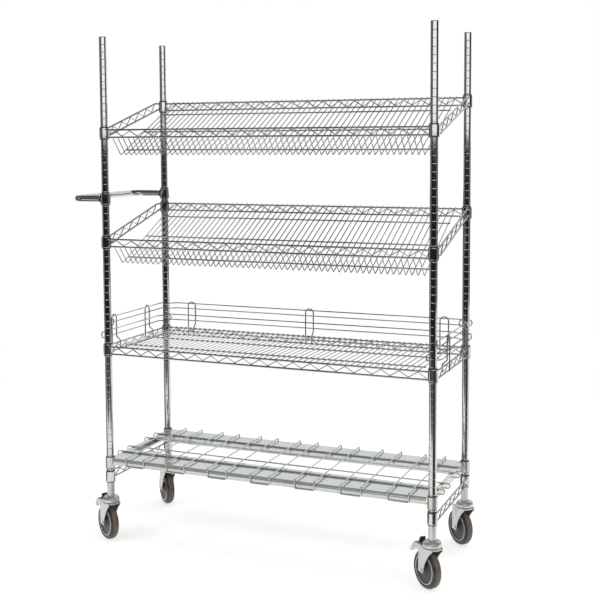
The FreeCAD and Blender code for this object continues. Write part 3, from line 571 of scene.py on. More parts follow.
# A groove's section: along the post in half widths, and into it in depths
GROOVE_FORM = ((-1.3, 0), (-1, 0), (-1 / 3, 1), (1 / 3, 1), (1, 0), (1.3, 0))


def post_profile():
    """Half section of a post with its ring grooves."""
    size = sizes()
    half = size.groove_width / 2
    profile = [(POST_RADIUS, POST_FOOT)]
    step = 1
    while POST_FOOT + step * size.groove_pitch < POST_TOP - half:
        z = POST_FOOT + step * size.groove_pitch
        for along, deep in GROOVE_FORM:
            profile.append((POST_RADIUS - deep * size.groove_depth, z + along * half))
        step += 1
    profile.append((POST_RADIUS, POST_TOP))
    return profile


class TROLLEY_OT_posts(bpy.types.Operator):
    """Makes the grooved posts and their caps"""

    bl_idname = "trolley.posts"
    bl_label = "Posts"

    def execute(self, context):
        profile = post_profile()
        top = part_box("post_caps")[1].z
        rounded = [(POST_RADIUS, POST_TOP), (POST_RADIUS, top - CAP_EDGE),
                   (POST_RADIUS - CAP_EDGE / 3, top - CAP_EDGE / 3), (POST_RADIUS - CAP_EDGE, top)]
        caps = Shape()
        for name in CORNERS:
            post = Shape()
            post.turned(profile, on_post(name))
            post.piece("grooved_post_" + name, ["chrome"], "frame", "post_chrome", ["post_" + name],
                       POST_CRISP_ANGLE)
            caps.turned(rounded, on_post(name))
        caps.piece("post_cap_set", ["steel"], "frame", "post_cap_plastic", ["post_caps"])
        return {"FINISHED"}


# Trusses

COLLAR_EDGE = 1.6 * MM
COLLAR_BORE = 14.9 * MM
COLLAR_SEGMENTS = 48

# A collar's rounded rim in edge widths: in from its side, and down from its top
COLLAR_RIM = ((0, 1.4), (0, 1), (0.3, 0.3), (1, 0))

RAIL_WELD_DEPTH = 1.0 * MM
RAIL_BEND = 30 * MM

# A weld bead in rail radii, and the part of the zigzag wire that is sunk in a rail
BEAD_SHARE = 1.25
ZIGZAG_SINK = 0.2


def collar_profile():
    """Half section of a collar: rounded rims and a bore that meets its sleeve."""
    size = sizes()
    radius = size.collar_diameter / 2
    half = size.collar_height / 2
    upper = [(radius - inward * COLLAR_EDGE, half - down * COLLAR_EDGE) for inward, down in COLLAR_RIM]
    upper.append((COLLAR_BORE, half))
    return mirrored(upper) + upper


def add_collars(shape, front, back, names=CORNERS):
    """Collars around the posts at the heights of a shelf's front and back."""
    for name in names:
        z = front if "front" in name else back
        shape.turned(collar_profile(), on_post(name, z), segments=COLLAR_SEGMENTS, closed=True)


def rail_end(offset):
    """How far from a post's middle a rail stops."""
    return math.sqrt((sizes().collar_diameter / 2) ** 2 - offset ** 2) - RAIL_WELD_DEPTH


def add_rail(shape, route):
    """A rail with a weld bead at each end."""
    rail = sizes().rail_diameter / 2
    shape.tube(bent(route, RAIL_BEND), rail, RAIL_SIDES)
    for point in (route[0], route[-1]):
        shape.bead(point, BEAD_SHARE * rail)


def add_zigzag(shape, start, stop, normal, apart):
    """The zigzag wire between two rails that lie apart along the normal."""
    size = sizes()
    swing = apart / 2 - size.rail_diameter / 2 - ZIGZAG_SINK * size.zigzag_diameter
    half_waves = round(2 * (stop - start).length / size.zigzag_pitch)
    along = (stop - start) / half_waves
    points = []
    for k in range(half_waves + 1):
        points.append(start + along * k + normal * (swing if k % 2 else -swing))
    shape.tube(bent(points, size.zigzag_bend), size.zigzag_diameter / 2, WIRE_SIDES)


def add_long_truss(shape, y, z):
    """A level truss at a shelf's front or back."""
    size = sizes()
    end = POST_X - rail_end(abs(y) - POST_Y)
    for height in (size.rail_rise, -size.rail_drop):
        add_rail(shape, [Vector((x, y, z + height)) for x in (-end, end)])
    centre = z + (size.rail_rise - size.rail_drop) / 2
    reach = end - size.zigzag_diameter
    start = Vector((-reach, y, centre))
    stop = Vector((reach, y, centre))
    add_zigzag(shape, start, stop, Z_AXIS, size.rail_rise + size.rail_drop)


def add_side_truss(shape, x, front, back):
    """A truss at a shelf's end, which climbs where the back is higher."""
    size = sizes()
    end = POST_Y - rail_end(size.rail_outset)
    turn = POST_Y - size.collar_diameter / 2 + RAIL_WELD_DEPTH - size.rail_level_run
    climbs = back - front > MM
    drop = size.slope_rail_drop if climbs else size.rail_drop
    upper = [(-end, front + size.rail_rise), (end, back + size.rail_rise)]
    lower = [(-end, front - drop), (end, back - drop)]
    if climbs:
        upper.insert(1, (turn, back + size.rail_rise))
        lower.insert(1, (-turn, front - drop))
    for route in (upper, lower):
        add_rail(shape, [Vector((x, y, z)) for y, z in route])
    slope = (back - front) / (end + turn)

    def centre(y):
        high = front + size.rail_rise + slope * (y + end)
        low = front - drop + slope * (y + turn)
        return Vector((x, y, (high + low) / 2))

    reach = turn - size.zigzag_diameter
    start = centre(-reach)
    stop = centre(reach)
    along = (stop - start).normalized()
    apart = size.rail_rise + drop + slope * (end - turn)
    add_zigzag(shape, start, stop, X_AXIS.cross(along), apart * along.y)


class TROLLEY_OT_trusses(bpy.types.Operator):
    """Makes the collars and edge trusses of the shelves and the lower frame"""

    bl_idname = "trolley.trusses"
    bl_label = "Trusses"

    def execute(self, context):
        edge = POST_Y + sizes().rail_outset
        side = POST_X + sizes().rail_outset
        for name, level in (("top", "top_shelf"), ("middle", "middle_shelf"), ("flat", "flat_shelf"),
                            ("lower", "lower_frame")):
            front, back = levels(level)
            shape = Shape()
            shape.slot = 1
            add_collars(shape, front, back)
            shape.slot = 0
            if name != "lower":
                add_long_truss(shape, -edge, front)
                add_long_truss(shape, edge, back)
            for x in (-side, side):
                add_side_truss(shape, x, front, back)
            node = level if name == "lower" else level + "_frame"
            shape.piece(name + "_truss_frame", ["wire", "chrome"], "frame", "wire_chrome", [node])
        dress([node for node in frame["nodes"] if node.endswith("_sleeves")], "sleeve")
        return {"FINISHED"}


# Decks

SUPPORT_OVERHANG = 4 * MM
SUPPORT_ROWS = (-1, 0, 1)

# Distance of the lip's tips below the front rail, in wire diameters
LIP_DROP = 0.4


def deck_places():
    """Places of a deck's cross wires along its length."""
    size = sizes()
    first = -(size.deck_count - 1) / 2 * size.deck_pitch
    return [first + k * size.deck_pitch for k in range(size.deck_count)]


def add_support(shape, y, z, normal):
    """A lengthwise wire under a deck."""
    size = sizes()
    reach = (size.deck_count - 1) / 2 * size.deck_pitch + SUPPORT_OVERHANG
    drop = normal * (size.deck_diameter + size.support_diameter) / 2
    ends = [Vector((x, y, z)) - drop for x in (-reach, reach)]
    shape.tube(ends, size.support_diameter / 2, RAIL_SIDES)


def add_sloping_deck(shape, front, back):
    """Cross wires that come down from the back rail and turn up to the front rail."""
    size = sizes()
    rail_y = POST_Y + size.rail_outset
    rail = Vector((0, rail_y, back + size.rail_rise))
    trough = Vector((0, -rail_y + size.trough_setback, front - size.trough_depth))
    across = rail - trough
    over = size.rail_diameter / 2 + size.deck_diameter / 2
    slope = math.atan2(across.z, across.y) + math.asin(over / across.length)
    run = Vector((0, math.cos(slope), math.sin(slope)))
    normal = X_AXIS.cross(run)
    touch = trough + run * math.sqrt(across.length ** 2 - over ** 2)
    tail = touch + run * size.deck_overhang
    under_rail = front - size.rail_drop - size.rail_diameter / 2
    tip = Vector((0, -rail_y, under_rail - size.deck_diameter * LIP_DROP))
    for x in deck_places():
        offset = Vector((x, 0, 0))
        route = bent([point + offset for point in (tail, trough, tip)], size.trough_bend, steps=4)
        shape.tube(route, size.deck_diameter / 2, WIRE_SIDES)
    for k in SUPPORT_ROWS:
        y = k * size.slope_support_spacing
        add_support(shape, y, trough.z + (y - trough.y) * run.z / run.y, normal)


def add_flat_deck(shape, level):
    """Straight cross wires over the front and back rails."""
    size = sizes()
    z = level + size.rail_rise + size.rail_diameter / 2 + size.deck_diameter / 2
    reach = POST_Y + size.rail_outset + size.deck_overhang
    for x in deck_places():
        shape.tube([Vector((x, -reach, z)), Vector((x, reach, z))], size.deck_diameter / 2, WIRE_SIDES)
    for k in SUPPORT_ROWS:
        add_support(shape, k * size.flat_support_spacing, z, Z_AXIS)


class TROLLEY_OT_decks(bpy.types.Operator):
    """Makes the wire decks of the three shelves"""

    bl_idname = "trolley.decks"
    bl_label = "Decks"

    def execute(self, context):
        for name in ("top", "middle"):
            shape = Shape()
            add_sloping_deck(shape, *levels(name + "_shelf"))
            nodes = [name + "_shelf_deck", name + "_shelf_lip"]
            shape.piece(name + "_deck_wires", ["wire"], "frame", "wire_chrome", nodes)
        shape = Shape()
        add_flat_deck(shape, levels("flat_shelf")[0])
        shape.piece("flat_deck_wires", ["wire"], "frame", "wire_chrome", ["flat_shelf_deck"])
        return {"FINISHED"}


# Ledges

# Heights above the middle of the flat shelf's collars
LEDGE_LOWER_RISE = 42 * MM
LEDGE_UPPER_RISE = 88 * MM
LEDGE_CLIP_TOP = 113 * MM
LEDGE_CLIP_FOOT = -11 * MM

LEDGE_LOOP_HEIGHT = 20 * MM
LEDGE_PAST_POST = 18 * MM
LEDGE_TURN_PLACE = 40 * MM
LEDGE_TURN_RUN = 54 * MM
LEDGE_TURN_BEND = 12 * MM
LEDGE_CLIP_SHOULDER = 16 * MM
LEDGE_CLIP_BEND = 6 * MM
LEDGE_ARCH_PITCHES = 0.75
LEDGE_SEAT_GAP = 0.3 * MM
CAD_RAIL_FLATS = 6
SIDE_CLIP_PLACES = (73 * MM, 308 * MM)
BACK_CLIP_WIRES = (-24, 0, 25)


def ledge_loop(length, out, z):
    """A long loop past the first post, whose far end turns in across the corner at the other."""
    radius = LEDGE_LOOP_HEIGHT / 2
    up = Z_AXIS * radius
    inward = Vector((1, -1, 0)).normalized()
    start = Vector((radius - LEDGE_PAST_POST, out, z))
    corner = Vector((length - LEDGE_TURN_PLACE, out, z))
    stop = corner + inward * (LEDGE_TURN_RUN - radius)
    bend = bent([start, corner, stop], LEDGE_TURN_BEND, steps=6)[1:-1]
    loop = arc(start, radius, -X_AXIS, Z_AXIS, 90, -90, steps=8)
    loop += [point - up for point in bend]
    loop += arc(stop, radius, inward, Z_AXIS, -90, 90, steps=8)
    loop += [point + up for point in reversed(bend)]
    return loop


def add_ledge(shape, turn, length, clip_places):
    """Loops and clips of a ledge, drawn along X and then turned to its side."""
    size = sizes()
    rod = size.ledge_rod_diameter / 2
    clip = size.ledge_clip_diameter / 2
    out = POST_RADIUS + LEDGE_SEAT_GAP + rod
    lower = ledge_loop(length, out, LEDGE_LOWER_RISE + LEDGE_LOOP_HEIGHT / 2)
    upper = ledge_loop(length, out, LEDGE_UPPER_RISE + LEDGE_LOOP_HEIGHT / 2)
    upper = [Vector((length - point.x, point.y, point.z)) for point in upper]
    for loop in (lower, upper):
        shape.tube([turn @ point for point in loop], rod, ROD_SIDES, closed=True)

    rail_corner = size.rail_diameter / 2 / math.cos(math.pi / CAD_RAIL_FLATS)
    beside_rail = rail_corner + LEDGE_SEAT_GAP + clip
    clip_y = max(out + rod + clip, size.rail_outset + beside_rail)
    grip_y = size.rail_outset - beside_rail
    arch = LEDGE_ARCH_PITCHES * size.deck_pitch
    top = size.rail_rise + size.rail_diameter / 2
    for place in clip_places:
        centre = Vector((place, clip_y, LEDGE_CLIP_TOP - arch))
        route = [Vector((place - arch, clip_y, LEDGE_CLIP_FOOT))]
        route += arc(centre, arch, -X_AXIS, Z_AXIS, 0, 180, steps=12)
        leg = [(clip_y, top + LEDGE_CLIP_SHOULDER), (grip_y, top + clip), (grip_y, LEDGE_CLIP_FOOT)]
        corners = [route[-1]] + [Vector((place + arch, y, z)) for y, z in leg]
        route += bent(corners, LEDGE_CLIP_BEND)[1:]
        shape.tube([turn @ point for point in route], clip, ROD_SIDES)


class TROLLEY_OT_ledges(bpy.types.Operator):
    """Makes the three ledges of the flat shelf"""

    bl_idname = "trolley.ledges"
    bl_label = "Ledges"

    def execute(self, context):
        level = levels("flat_shelf")[0]
        side_length = 2 * POST_Y
        back_length = 2 * POST_X
        back_places = [POST_X + k * sizes().deck_pitch for k in BACK_CLIP_WIRES]
        rows = (("left", "front_left", 90, side_length, SIDE_CLIP_PLACES),
                ("back", "back_left", 0, back_length, back_places),
                ("right", "back_right", -90, side_length, SIDE_CLIP_PLACES))
        for side, corner, angle, length, places in rows:
            start = Matrix.Translation(on_post(corner, level))
            shape = Shape()
            add_ledge(shape, start @ Matrix.Rotation(math.radians(angle), 4, "Z"), length, places)
            shape.piece("ledge_rods_" + side, ["wire"], "frame", "wire_chrome", ["ledge_" + side])
        return {"FINISHED"}


# Base

GRID_PAIR_COUNT = 7
GRID_PAIR_PITCH = 161 * MM
GRID_PAIR_WIDTH = 70 * MM
GRID_BACK_LEG = 18 * MM
LONG_WIRE_PLACES = (-130 * MM, -62 * MM, 62 * MM, 130 * MM)
HOOK_RADIUS = 8 * MM


class TROLLEY_OT_base(bpy.types.Operator):
    """Makes the base's wire grid and dresses its panels"""

    bl_idname = "trolley.base"
    bl_label = "Base"

    def execute(self, context):
        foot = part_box("base_panel_front")[0].z
        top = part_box("base_panel_front")[1].z
        self.pairs(foot, top)
        self.rods(top)
        dress(["base_panel_front", "base_panel_back", "base_frame"], "zinc")
        return {"FINISHED"}

    @staticmethod
    def pairs(foot, top):
        """Cross wires over the rods, in pairs joined at the front and turned down at the back."""
        radius = sizes().grid_diameter / 2
        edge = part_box("base_cross_wires")[1].y - radius
        high = top + sizes().grid_diameter + radius
        hook = [(edge, high - GRID_BACK_LEG), (edge, high), (-edge, high), (-edge, foot)]
        shape = Shape()
        for k in range(GRID_PAIR_COUNT):
            centre = (k - (GRID_PAIR_COUNT - 1) / 2) * GRID_PAIR_PITCH
            left = centre - GRID_PAIR_WIDTH / 2
            right = centre + GRID_PAIR_WIDTH / 2
            corners = [Vector((left, y, z)) for y, z in hook]
            corners += [Vector((right, y, z)) for y, z in reversed(hook)]
            shape.tube(bent(corners, sizes().grid_bend), radius, RAIL_SIDES)
        shape.piece("base_grid_pairs", ["grid"], "frame", "base_zinc", ["base_cross_wires"])

    @staticmethod
    def rods(top):
        """Lengthwise wires with hooked ends."""
        radius = sizes().grid_diameter / 2
        low = top + radius
        end_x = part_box("base_long_wires")[1].x - radius
        stop_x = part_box("base_frame")[1].x - sizes().collar_diameter / 2
        shape = Shape()
        for y in LONG_WIRE_PLACES:
            centre = Vector((end_x - HOOK_RADIUS, y, low - HOOK_RADIUS))
            right = arc(centre, HOOK_RADIUS, X_AXIS, Z_AXIS, 90, -90, steps=10)
            right.append(Vector((stop_x, y, low - 2 * HOOK_RADIUS)))
            left = [Vector((-p.x, p.y, p.z)) for p in reversed(right)]
            shape.tube(left + right, radius, RAIL_SIDES)
        shape.piece("base_grid_rods", ["grid"], "frame", "base_zinc", ["base_long_wires"])


# Push handle

HANDLE_SEAT_DEPTH = 1.5 * MM
FLARE_SEAT_DEPTH = 1.0 * MM

# The flare at a handle's collar in millimetres: past the tube's radius, and along the tube
HANDLE_FLARE = ((4.0, 0.0), (2.0, 3.0), (0.6, 7.0), (-0.3, 9.0))


class TROLLEY_OT_handle(bpy.types.Operator):
    """Makes the push handle and its collars"""

    bl_idname = "trolley.handle"
    bl_label = "Push handle"

    def execute(self, context):
        size = sizes()
        radius = size.handle_diameter / 2
        level = middle("push_handle").z
        seat = -POST_X - size.collar_diameter / 2 + HANDLE_SEAT_DEPTH
        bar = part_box("push_handle")[0].x + radius
        corners = [(seat, -POST_Y), (bar, -POST_Y), (bar, POST_Y), (seat, POST_Y)]
        route = bent([Vector((x, y, level)) for x, y in corners], size.handle_bend, steps=14)
        flare = [(radius + past * MM, along * MM) for past, along in HANDLE_FLARE]
        ends = ("front_left", "back_left")
        shape = Shape()
        shape.tube(route, radius, HANDLE_SIDES)
        add_collars(shape, level, level, ends)
        for name in ends:
            place = Vector((seat - FLARE_SEAT_DEPTH, POSTS[name].y, level))
            shape.turned(flare, place, -X_AXIS, HANDLE_SIDES)
        shape.piece("push_handle_tube", ["chrome"], "frame", "handle_chrome", ["push_handle"])
        return {"FINISHED"}


# Castors

FORK_EDGE = 0.7 * MM
AXLE_EDGE = 0.6 * MM
BEARING_GAP = 1.6 * MM

STEM_RADIUS = 13 * MM
STEM_SEGMENTS = 56
SPIGOT_INSET = 1.55 * MM
KINGPIN_RADIUS = 6 * MM
RIVET_RADIUS = 11 * MM
RIVET_HEIGHT = 5 * MM
HEAD_RADIUS = 30 * MM
HEAD_HEIGHT = 19 * MM
HEAD_EDGE = 0.5 * MM
HEAD_BAND = 0.9 * MM
HEAD_DOME = 11 * MM
DOME_STEPS = 12

# The stem's foot in millimetres: past the stem's radius, and above the head
STEM_FILLET = ((1.5, 0.3), (0.0, 2.0), (0.0, 3.0))

WHEEL_SEGMENTS = 72
WHEEL_HALF_WIDTH = 16 * MM
TYRE_BORE = 47.5 * MM
TYRE_BORE_WIDTH = 0.86
TYRE_TREAD_WIDTH = 0.30
TYRE_CRISP_ANGLE = 50
HUB_GAP = 0.05 * MM
RIM_LINE = 2.2 * MM

# The tyre's shoulder: millimetres below the tread, and the share of the half width
TYRE_SHOULDER = ((0.6, 0.52), (2.4, 0.72), (5.2, 0.88), (8.4, 0.97), (11.0, 0.985))

# The hub's face: radius in millimetres, and the share of the half width
HUB_FACE = ((9.1, 0.98), (15.0, 0.98), (17.0, 0.92), (19.5, 0.70), (24.0, 0.66))

# The hub's outer part: distance inside its rim, and the share of the half width
HUB_RIM = ((7.0 * MM, 0.70), (RIM_LINE + 0.8 * MM, 0.80), (RIM_LINE, 0.88), (0.3 * MM, 0.88), (0.0, 0.84))

# The pedal's points in millimetres from its pin: outward and upward
PEDAL_PLATE = ((-11.5, 7.7), (13.2, 4.5), (29.5, -16.2))
PEDAL_TIP = (45.5, -36.5)
PEDAL_NOSE_ANGLES = (20, 40, 57, 70, 80, 86)
PEDAL_WIDTH = 34 * MM
PEDAL_SHEET = 3 * MM
PEDAL_EDGE = 0.6 * MM
PEDAL_BEND = 9 * MM
BARREL_RADIUS = 6 * MM
BARREL_BORE = 3.1 * MM
BARREL_SEGMENTS = 24

# The release block in millimetres: outward, upward and half its width
RELEASE_BLOCK = ((-8.6, 8.0, 11.0), (-10.0, 14.0, 11.0), (-12.2, 24.0, 10.4), (-12.6, 25.6, 9.4))
BLOCK_THICKNESS = 6 * MM
BLOCK_EDGE = 1.2 * MM


def axle_direction(name):
    """Direction of a castor's axle."""
    return Vector(joint("spin_" + name)["axis"]).normalized()


class TROLLEY_OT_castors(bpy.types.Operator):
    """Makes the castors' heads, forks, wheels and pedals"""

    bl_idname = "trolley.castors"
    bl_label = "Castors"

    def execute(self, context):
        for name in CORNERS:
            self.stem(name)
            self.tyre(name)
            self.hub(name)
            body = "castor_" + name
            fork = "castor_fork_" + name
            softened(fork, "castor_fork_shell_" + name, "castor", body, FORK_EDGE)
            softened("axle_" + name, "axle_bolt_" + name, "steel", body, AXLE_EDGE)
            if name in BRAKED:
                self.pedal(name)
                dress(["brake_pin_" + name], "steel")
        dress(["swivel_bearings"], "steel")
        dress(["wheel_bush_" + name for name in CORNERS], "steel")
        return {"FINISHED"}

    @staticmethod
    def stem(name):
        """The stem, the domed upper head and the kingpin."""
        node = "castor_stem_" + name
        low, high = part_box(node)
        head_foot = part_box("castor_fork_" + name)[1].z + BEARING_GAP
        head_top = head_foot + HEAD_HEIGHT
        rivet_top = low.z + RIVET_HEIGHT
        spigot = POST_RADIUS - SPIGOT_INSET
        profile = [(RIVET_RADIUS, low.z), (RIVET_RADIUS, rivet_top)]
        profile += [(KINGPIN_RADIUS, rivet_top), (KINGPIN_RADIUS, head_foot)]
        profile += [(HEAD_RADIUS - HEAD_EDGE, head_foot), (HEAD_RADIUS, head_foot + HEAD_EDGE)]
        profile.append((HEAD_RADIUS, head_foot + HEAD_BAND))
        for k in range(DOME_STEPS + 1):
            angle = math.radians(90 * k / DOME_STEPS)
            in_by = HEAD_DOME * (1 - math.cos(angle))
            down_by = HEAD_DOME * (1 - math.sin(angle))
            profile.append((HEAD_RADIUS - in_by, head_top - down_by))
        profile += [(STEM_RADIUS + past * MM, head_top + above * MM) for past, above in STEM_FILLET]
        profile += [(STEM_RADIUS, POST_FOOT), (spigot, POST_FOOT), (spigot, high.z)]
        shape = Shape()
        shape.turned(profile, on_post(name), segments=STEM_SEGMENTS)
        shape.piece("castor_stem_turned_" + name, ["castor"], "frame", "castor_zinc", [node])

    @staticmethod
    def wheel_form(name, profile, marked):
        """A form turned about a wheel's axle; the marked bands get the second finish."""
        slots = [1 if i in marked else 0 for i in range(len(profile))]
        centre = Vector(joint("spin_" + name)["pos_m"])
        shape = Shape()
        shape.turned(profile, centre, axle_direction(name), WHEEL_SEGMENTS, closed=True, slots=slots)
        return shape

    def tyre(self, name):
        """The tyre: bulging sides, a bore and a rounded tread with its own finish."""
        radius = extent("tyre_" + name).z / 2
        half = WHEEL_HALF_WIDTH
        tread = [(radius, -half * TYRE_TREAD_WIDTH), (radius, half * TYRE_TREAD_WIDTH)]
        shoulder = [(radius - below * MM, half * share) for below, share in TYRE_SHOULDER]
        shoulder.append((TYRE_BORE, half * TYRE_BORE_WIDTH))
        first = len(shoulder) - 1
        shape = self.wheel_form(name, mirrored(shoulder) + tread + shoulder, (first, first + 1, first + 2))
        shape.piece("tyre_turned_" + name, ["tyre", "tread"], "wheel_" + name, "tyre_rubber",
                    ["tyre_" + name], TYRE_CRISP_ANGLE)

    def hub(self, name):
        """The hub with its boss, its web and a pale line around its rim."""
        half = WHEEL_HALF_WIDTH
        rim = TYRE_BORE - HUB_GAP
        side = [(radius * MM, half * share) for radius, share in HUB_FACE]
        side += [(rim - inside, half * share) for inside, share in HUB_RIM]
        count = len(side)
        shape = self.wheel_form(name, side + mirrored(side), (count - 3, count - 2, count, count + 1))
        shape.piece("wheel_hub_turned_" + name, ["hub", "rim"], "wheel_" + name, "hub_plastic",
                    ["wheel_hub_" + name])

    @staticmethod
    def pedal(name):
        """The bent pedal plate with its barrel and the dark release block."""
        across = axle_direction(name)
        trail = across.cross(Z_AXIS)
        pivot = Vector(joint("brake_" + name)["pos_m"])

        def at(out, rise):
            return pivot + trail * (out * MM) + Z_AXIS * (rise * MM)

        half = PEDAL_WIDTH / 2
        flat = bent([at(*point) for point in PEDAL_PLATE], PEDAL_BEND, steps=6)
        slope = at(*PEDAL_TIP) - at(*PEDAL_PLATE[-1])
        nose = [math.sin(math.radians(angle)) for angle in PEDAL_NOSE_ANGLES]
        route = flat + [flat[-1] + slope * share for share in nose]
        halves = [half] * len(flat) + [half * math.sqrt(1 - share ** 2) for share in nose]
        barrel = [(BARREL_BORE, -half), (BARREL_RADIUS, -half), (BARREL_RADIUS, half), (BARREL_BORE, half)]
        block = [at(out, rise) for out, rise, width in RELEASE_BLOCK]
        widths = [width * MM for out, rise, width in RELEASE_BLOCK]
        shape = Shape()
        shape.strap(route, across, halves, PEDAL_SHEET, PEDAL_EDGE)
        shape.turned(barrel, pivot, across, BARREL_SEGMENTS, closed=True)
        shape.slot = 1
        shape.strap(block, across, widths, BLOCK_THICKNESS, BLOCK_EDGE)
        shape.piece("brake_pedal_plate_" + name, ["castor", "sleeve"], "pedal_" + name, "castor_zinc",
                    ["brake_pedal_" + name])


# Stage

CAMERA_PLACE = Vector((1.5104, -3.5424, 1.4301))
CAMERA_AZIMUTH = math.radians(23.2)
CAMERA_ELEVATION = math.radians(4.56)
CAMERA_ROLL = math.radians(-0.35)
CAMERA_LENS = 66.71
CAMERA_SENSOR = 36.0
CAMERA_SHIFT = (0.0293, -0.1199)
CAMERA_REACH = 200.0

WHITE = (1, 1, 1, 1)
SOFT_LIGHT = 0.75
FLOOR_SIZE = 60.0
FLOOR_COLOUR = (0.90, 0.88, 0.85, 1)
FLOOR_ROUGHNESS = 0.8
SHADOW_NEAR = 1.6
SHADOW_FAR = 3.2
SHADOW_PALENESS = 0.66
STUDIO_RADIUS = 4.0
CEILING_HEIGHT = 4.4
# Painted dark reflection: the ceiling's colour, which only reflections see
CEILING_REFLECTION_COLOUR = (0.07, 0.07, 0.07)
# Painted highlight: a panel that glows brighter than white but is no lamp; only reflections see it and it
# lights nothing
HIGHLIGHT_PANEL_COLOUR = (1.4, 1.4, 1.38)
HIGHLIGHT_PANEL_ENDS = ((-0.98, -3.67), (3.70, -1.15))
HIGHLIGHT_PANEL_FOOT = 1.435
HIGHLIGHT_PANEL_TOP = 2.5

# Painted reflections: dark and tinted bands around the studio that only reflections see; degrees round from
# the picking side at each end, then the foot and the top
REFLECTION_BAND_STEP = 6
REFLECTION_BANDS = (
    ("front", (0.020, 0.020, 0.023), -66, 84, 0.0, 1.44),
    ("left", (0.17, 0.145, 0.125), -120, -74, 0.0, CEILING_HEIGHT),
    ("upper_left", (0.20, 0.172, 0.15), -74, 46, 1.44, CEILING_HEIGHT),
    ("right", (0.035, 0.035, 0.038), 46, 128, 1.40, CEILING_HEIGHT),
    ("right_low", (0.22, 0.215, 0.21), 84, 158, 0.35, 1.40),
    ("back_low", (0.05, 0.058, 0.058), 158, 240, 0.0, 1.05),
)

# Painted dark reflections: sheets lying on the studio's floor that only the chrome's reflections see
FLOOR_REFLECTION_HEIGHT = 2 * MM
FLOOR_REFLECTION_PATCHES = (
    ("front", (0.10, 0.088, 0.076), ((0.95, -1.95), (1.7, -4.0), (-3.4, -4.0), (-3.0, -2.1), (-1.2, -1.85))),
    ("right", (0.075, 0.066, 0.056), ((0.75, -0.85), (1.3, -0.15), (4.0, 0.3), (3.6, -3.0), (1.7, -4.0))),
    ("middle", (0.16, 0.135, 0.115), ((0.0, -0.65), (0.0, 0.6), (-0.4, 0.6), (-0.4, -0.65))),
    ("left", (0.16, 0.135, 0.115), ((-1.25, -0.70), (-3.4, -2.2), (-4.0, 0.0), (-3.4, 2.0), (-1.25, 0.6))),
)

# Lamps: place, width in metres and power in watts
LAMP_AIM = Vector((0, 0, 0.8))
LAMPS = (
    ("key_light", (-2.6, -3.4, 2.9), 2.2, 130.0),
    ("fill_light", (3.2, -2.2, 2.2), 1.8, 60.0),
    ("top_light", (0.4, 0.2, 4.2), 2.6, 90.0),
    ("rear_light", (1.8, 3.0, 2.6), 1.8, 60.0),
)


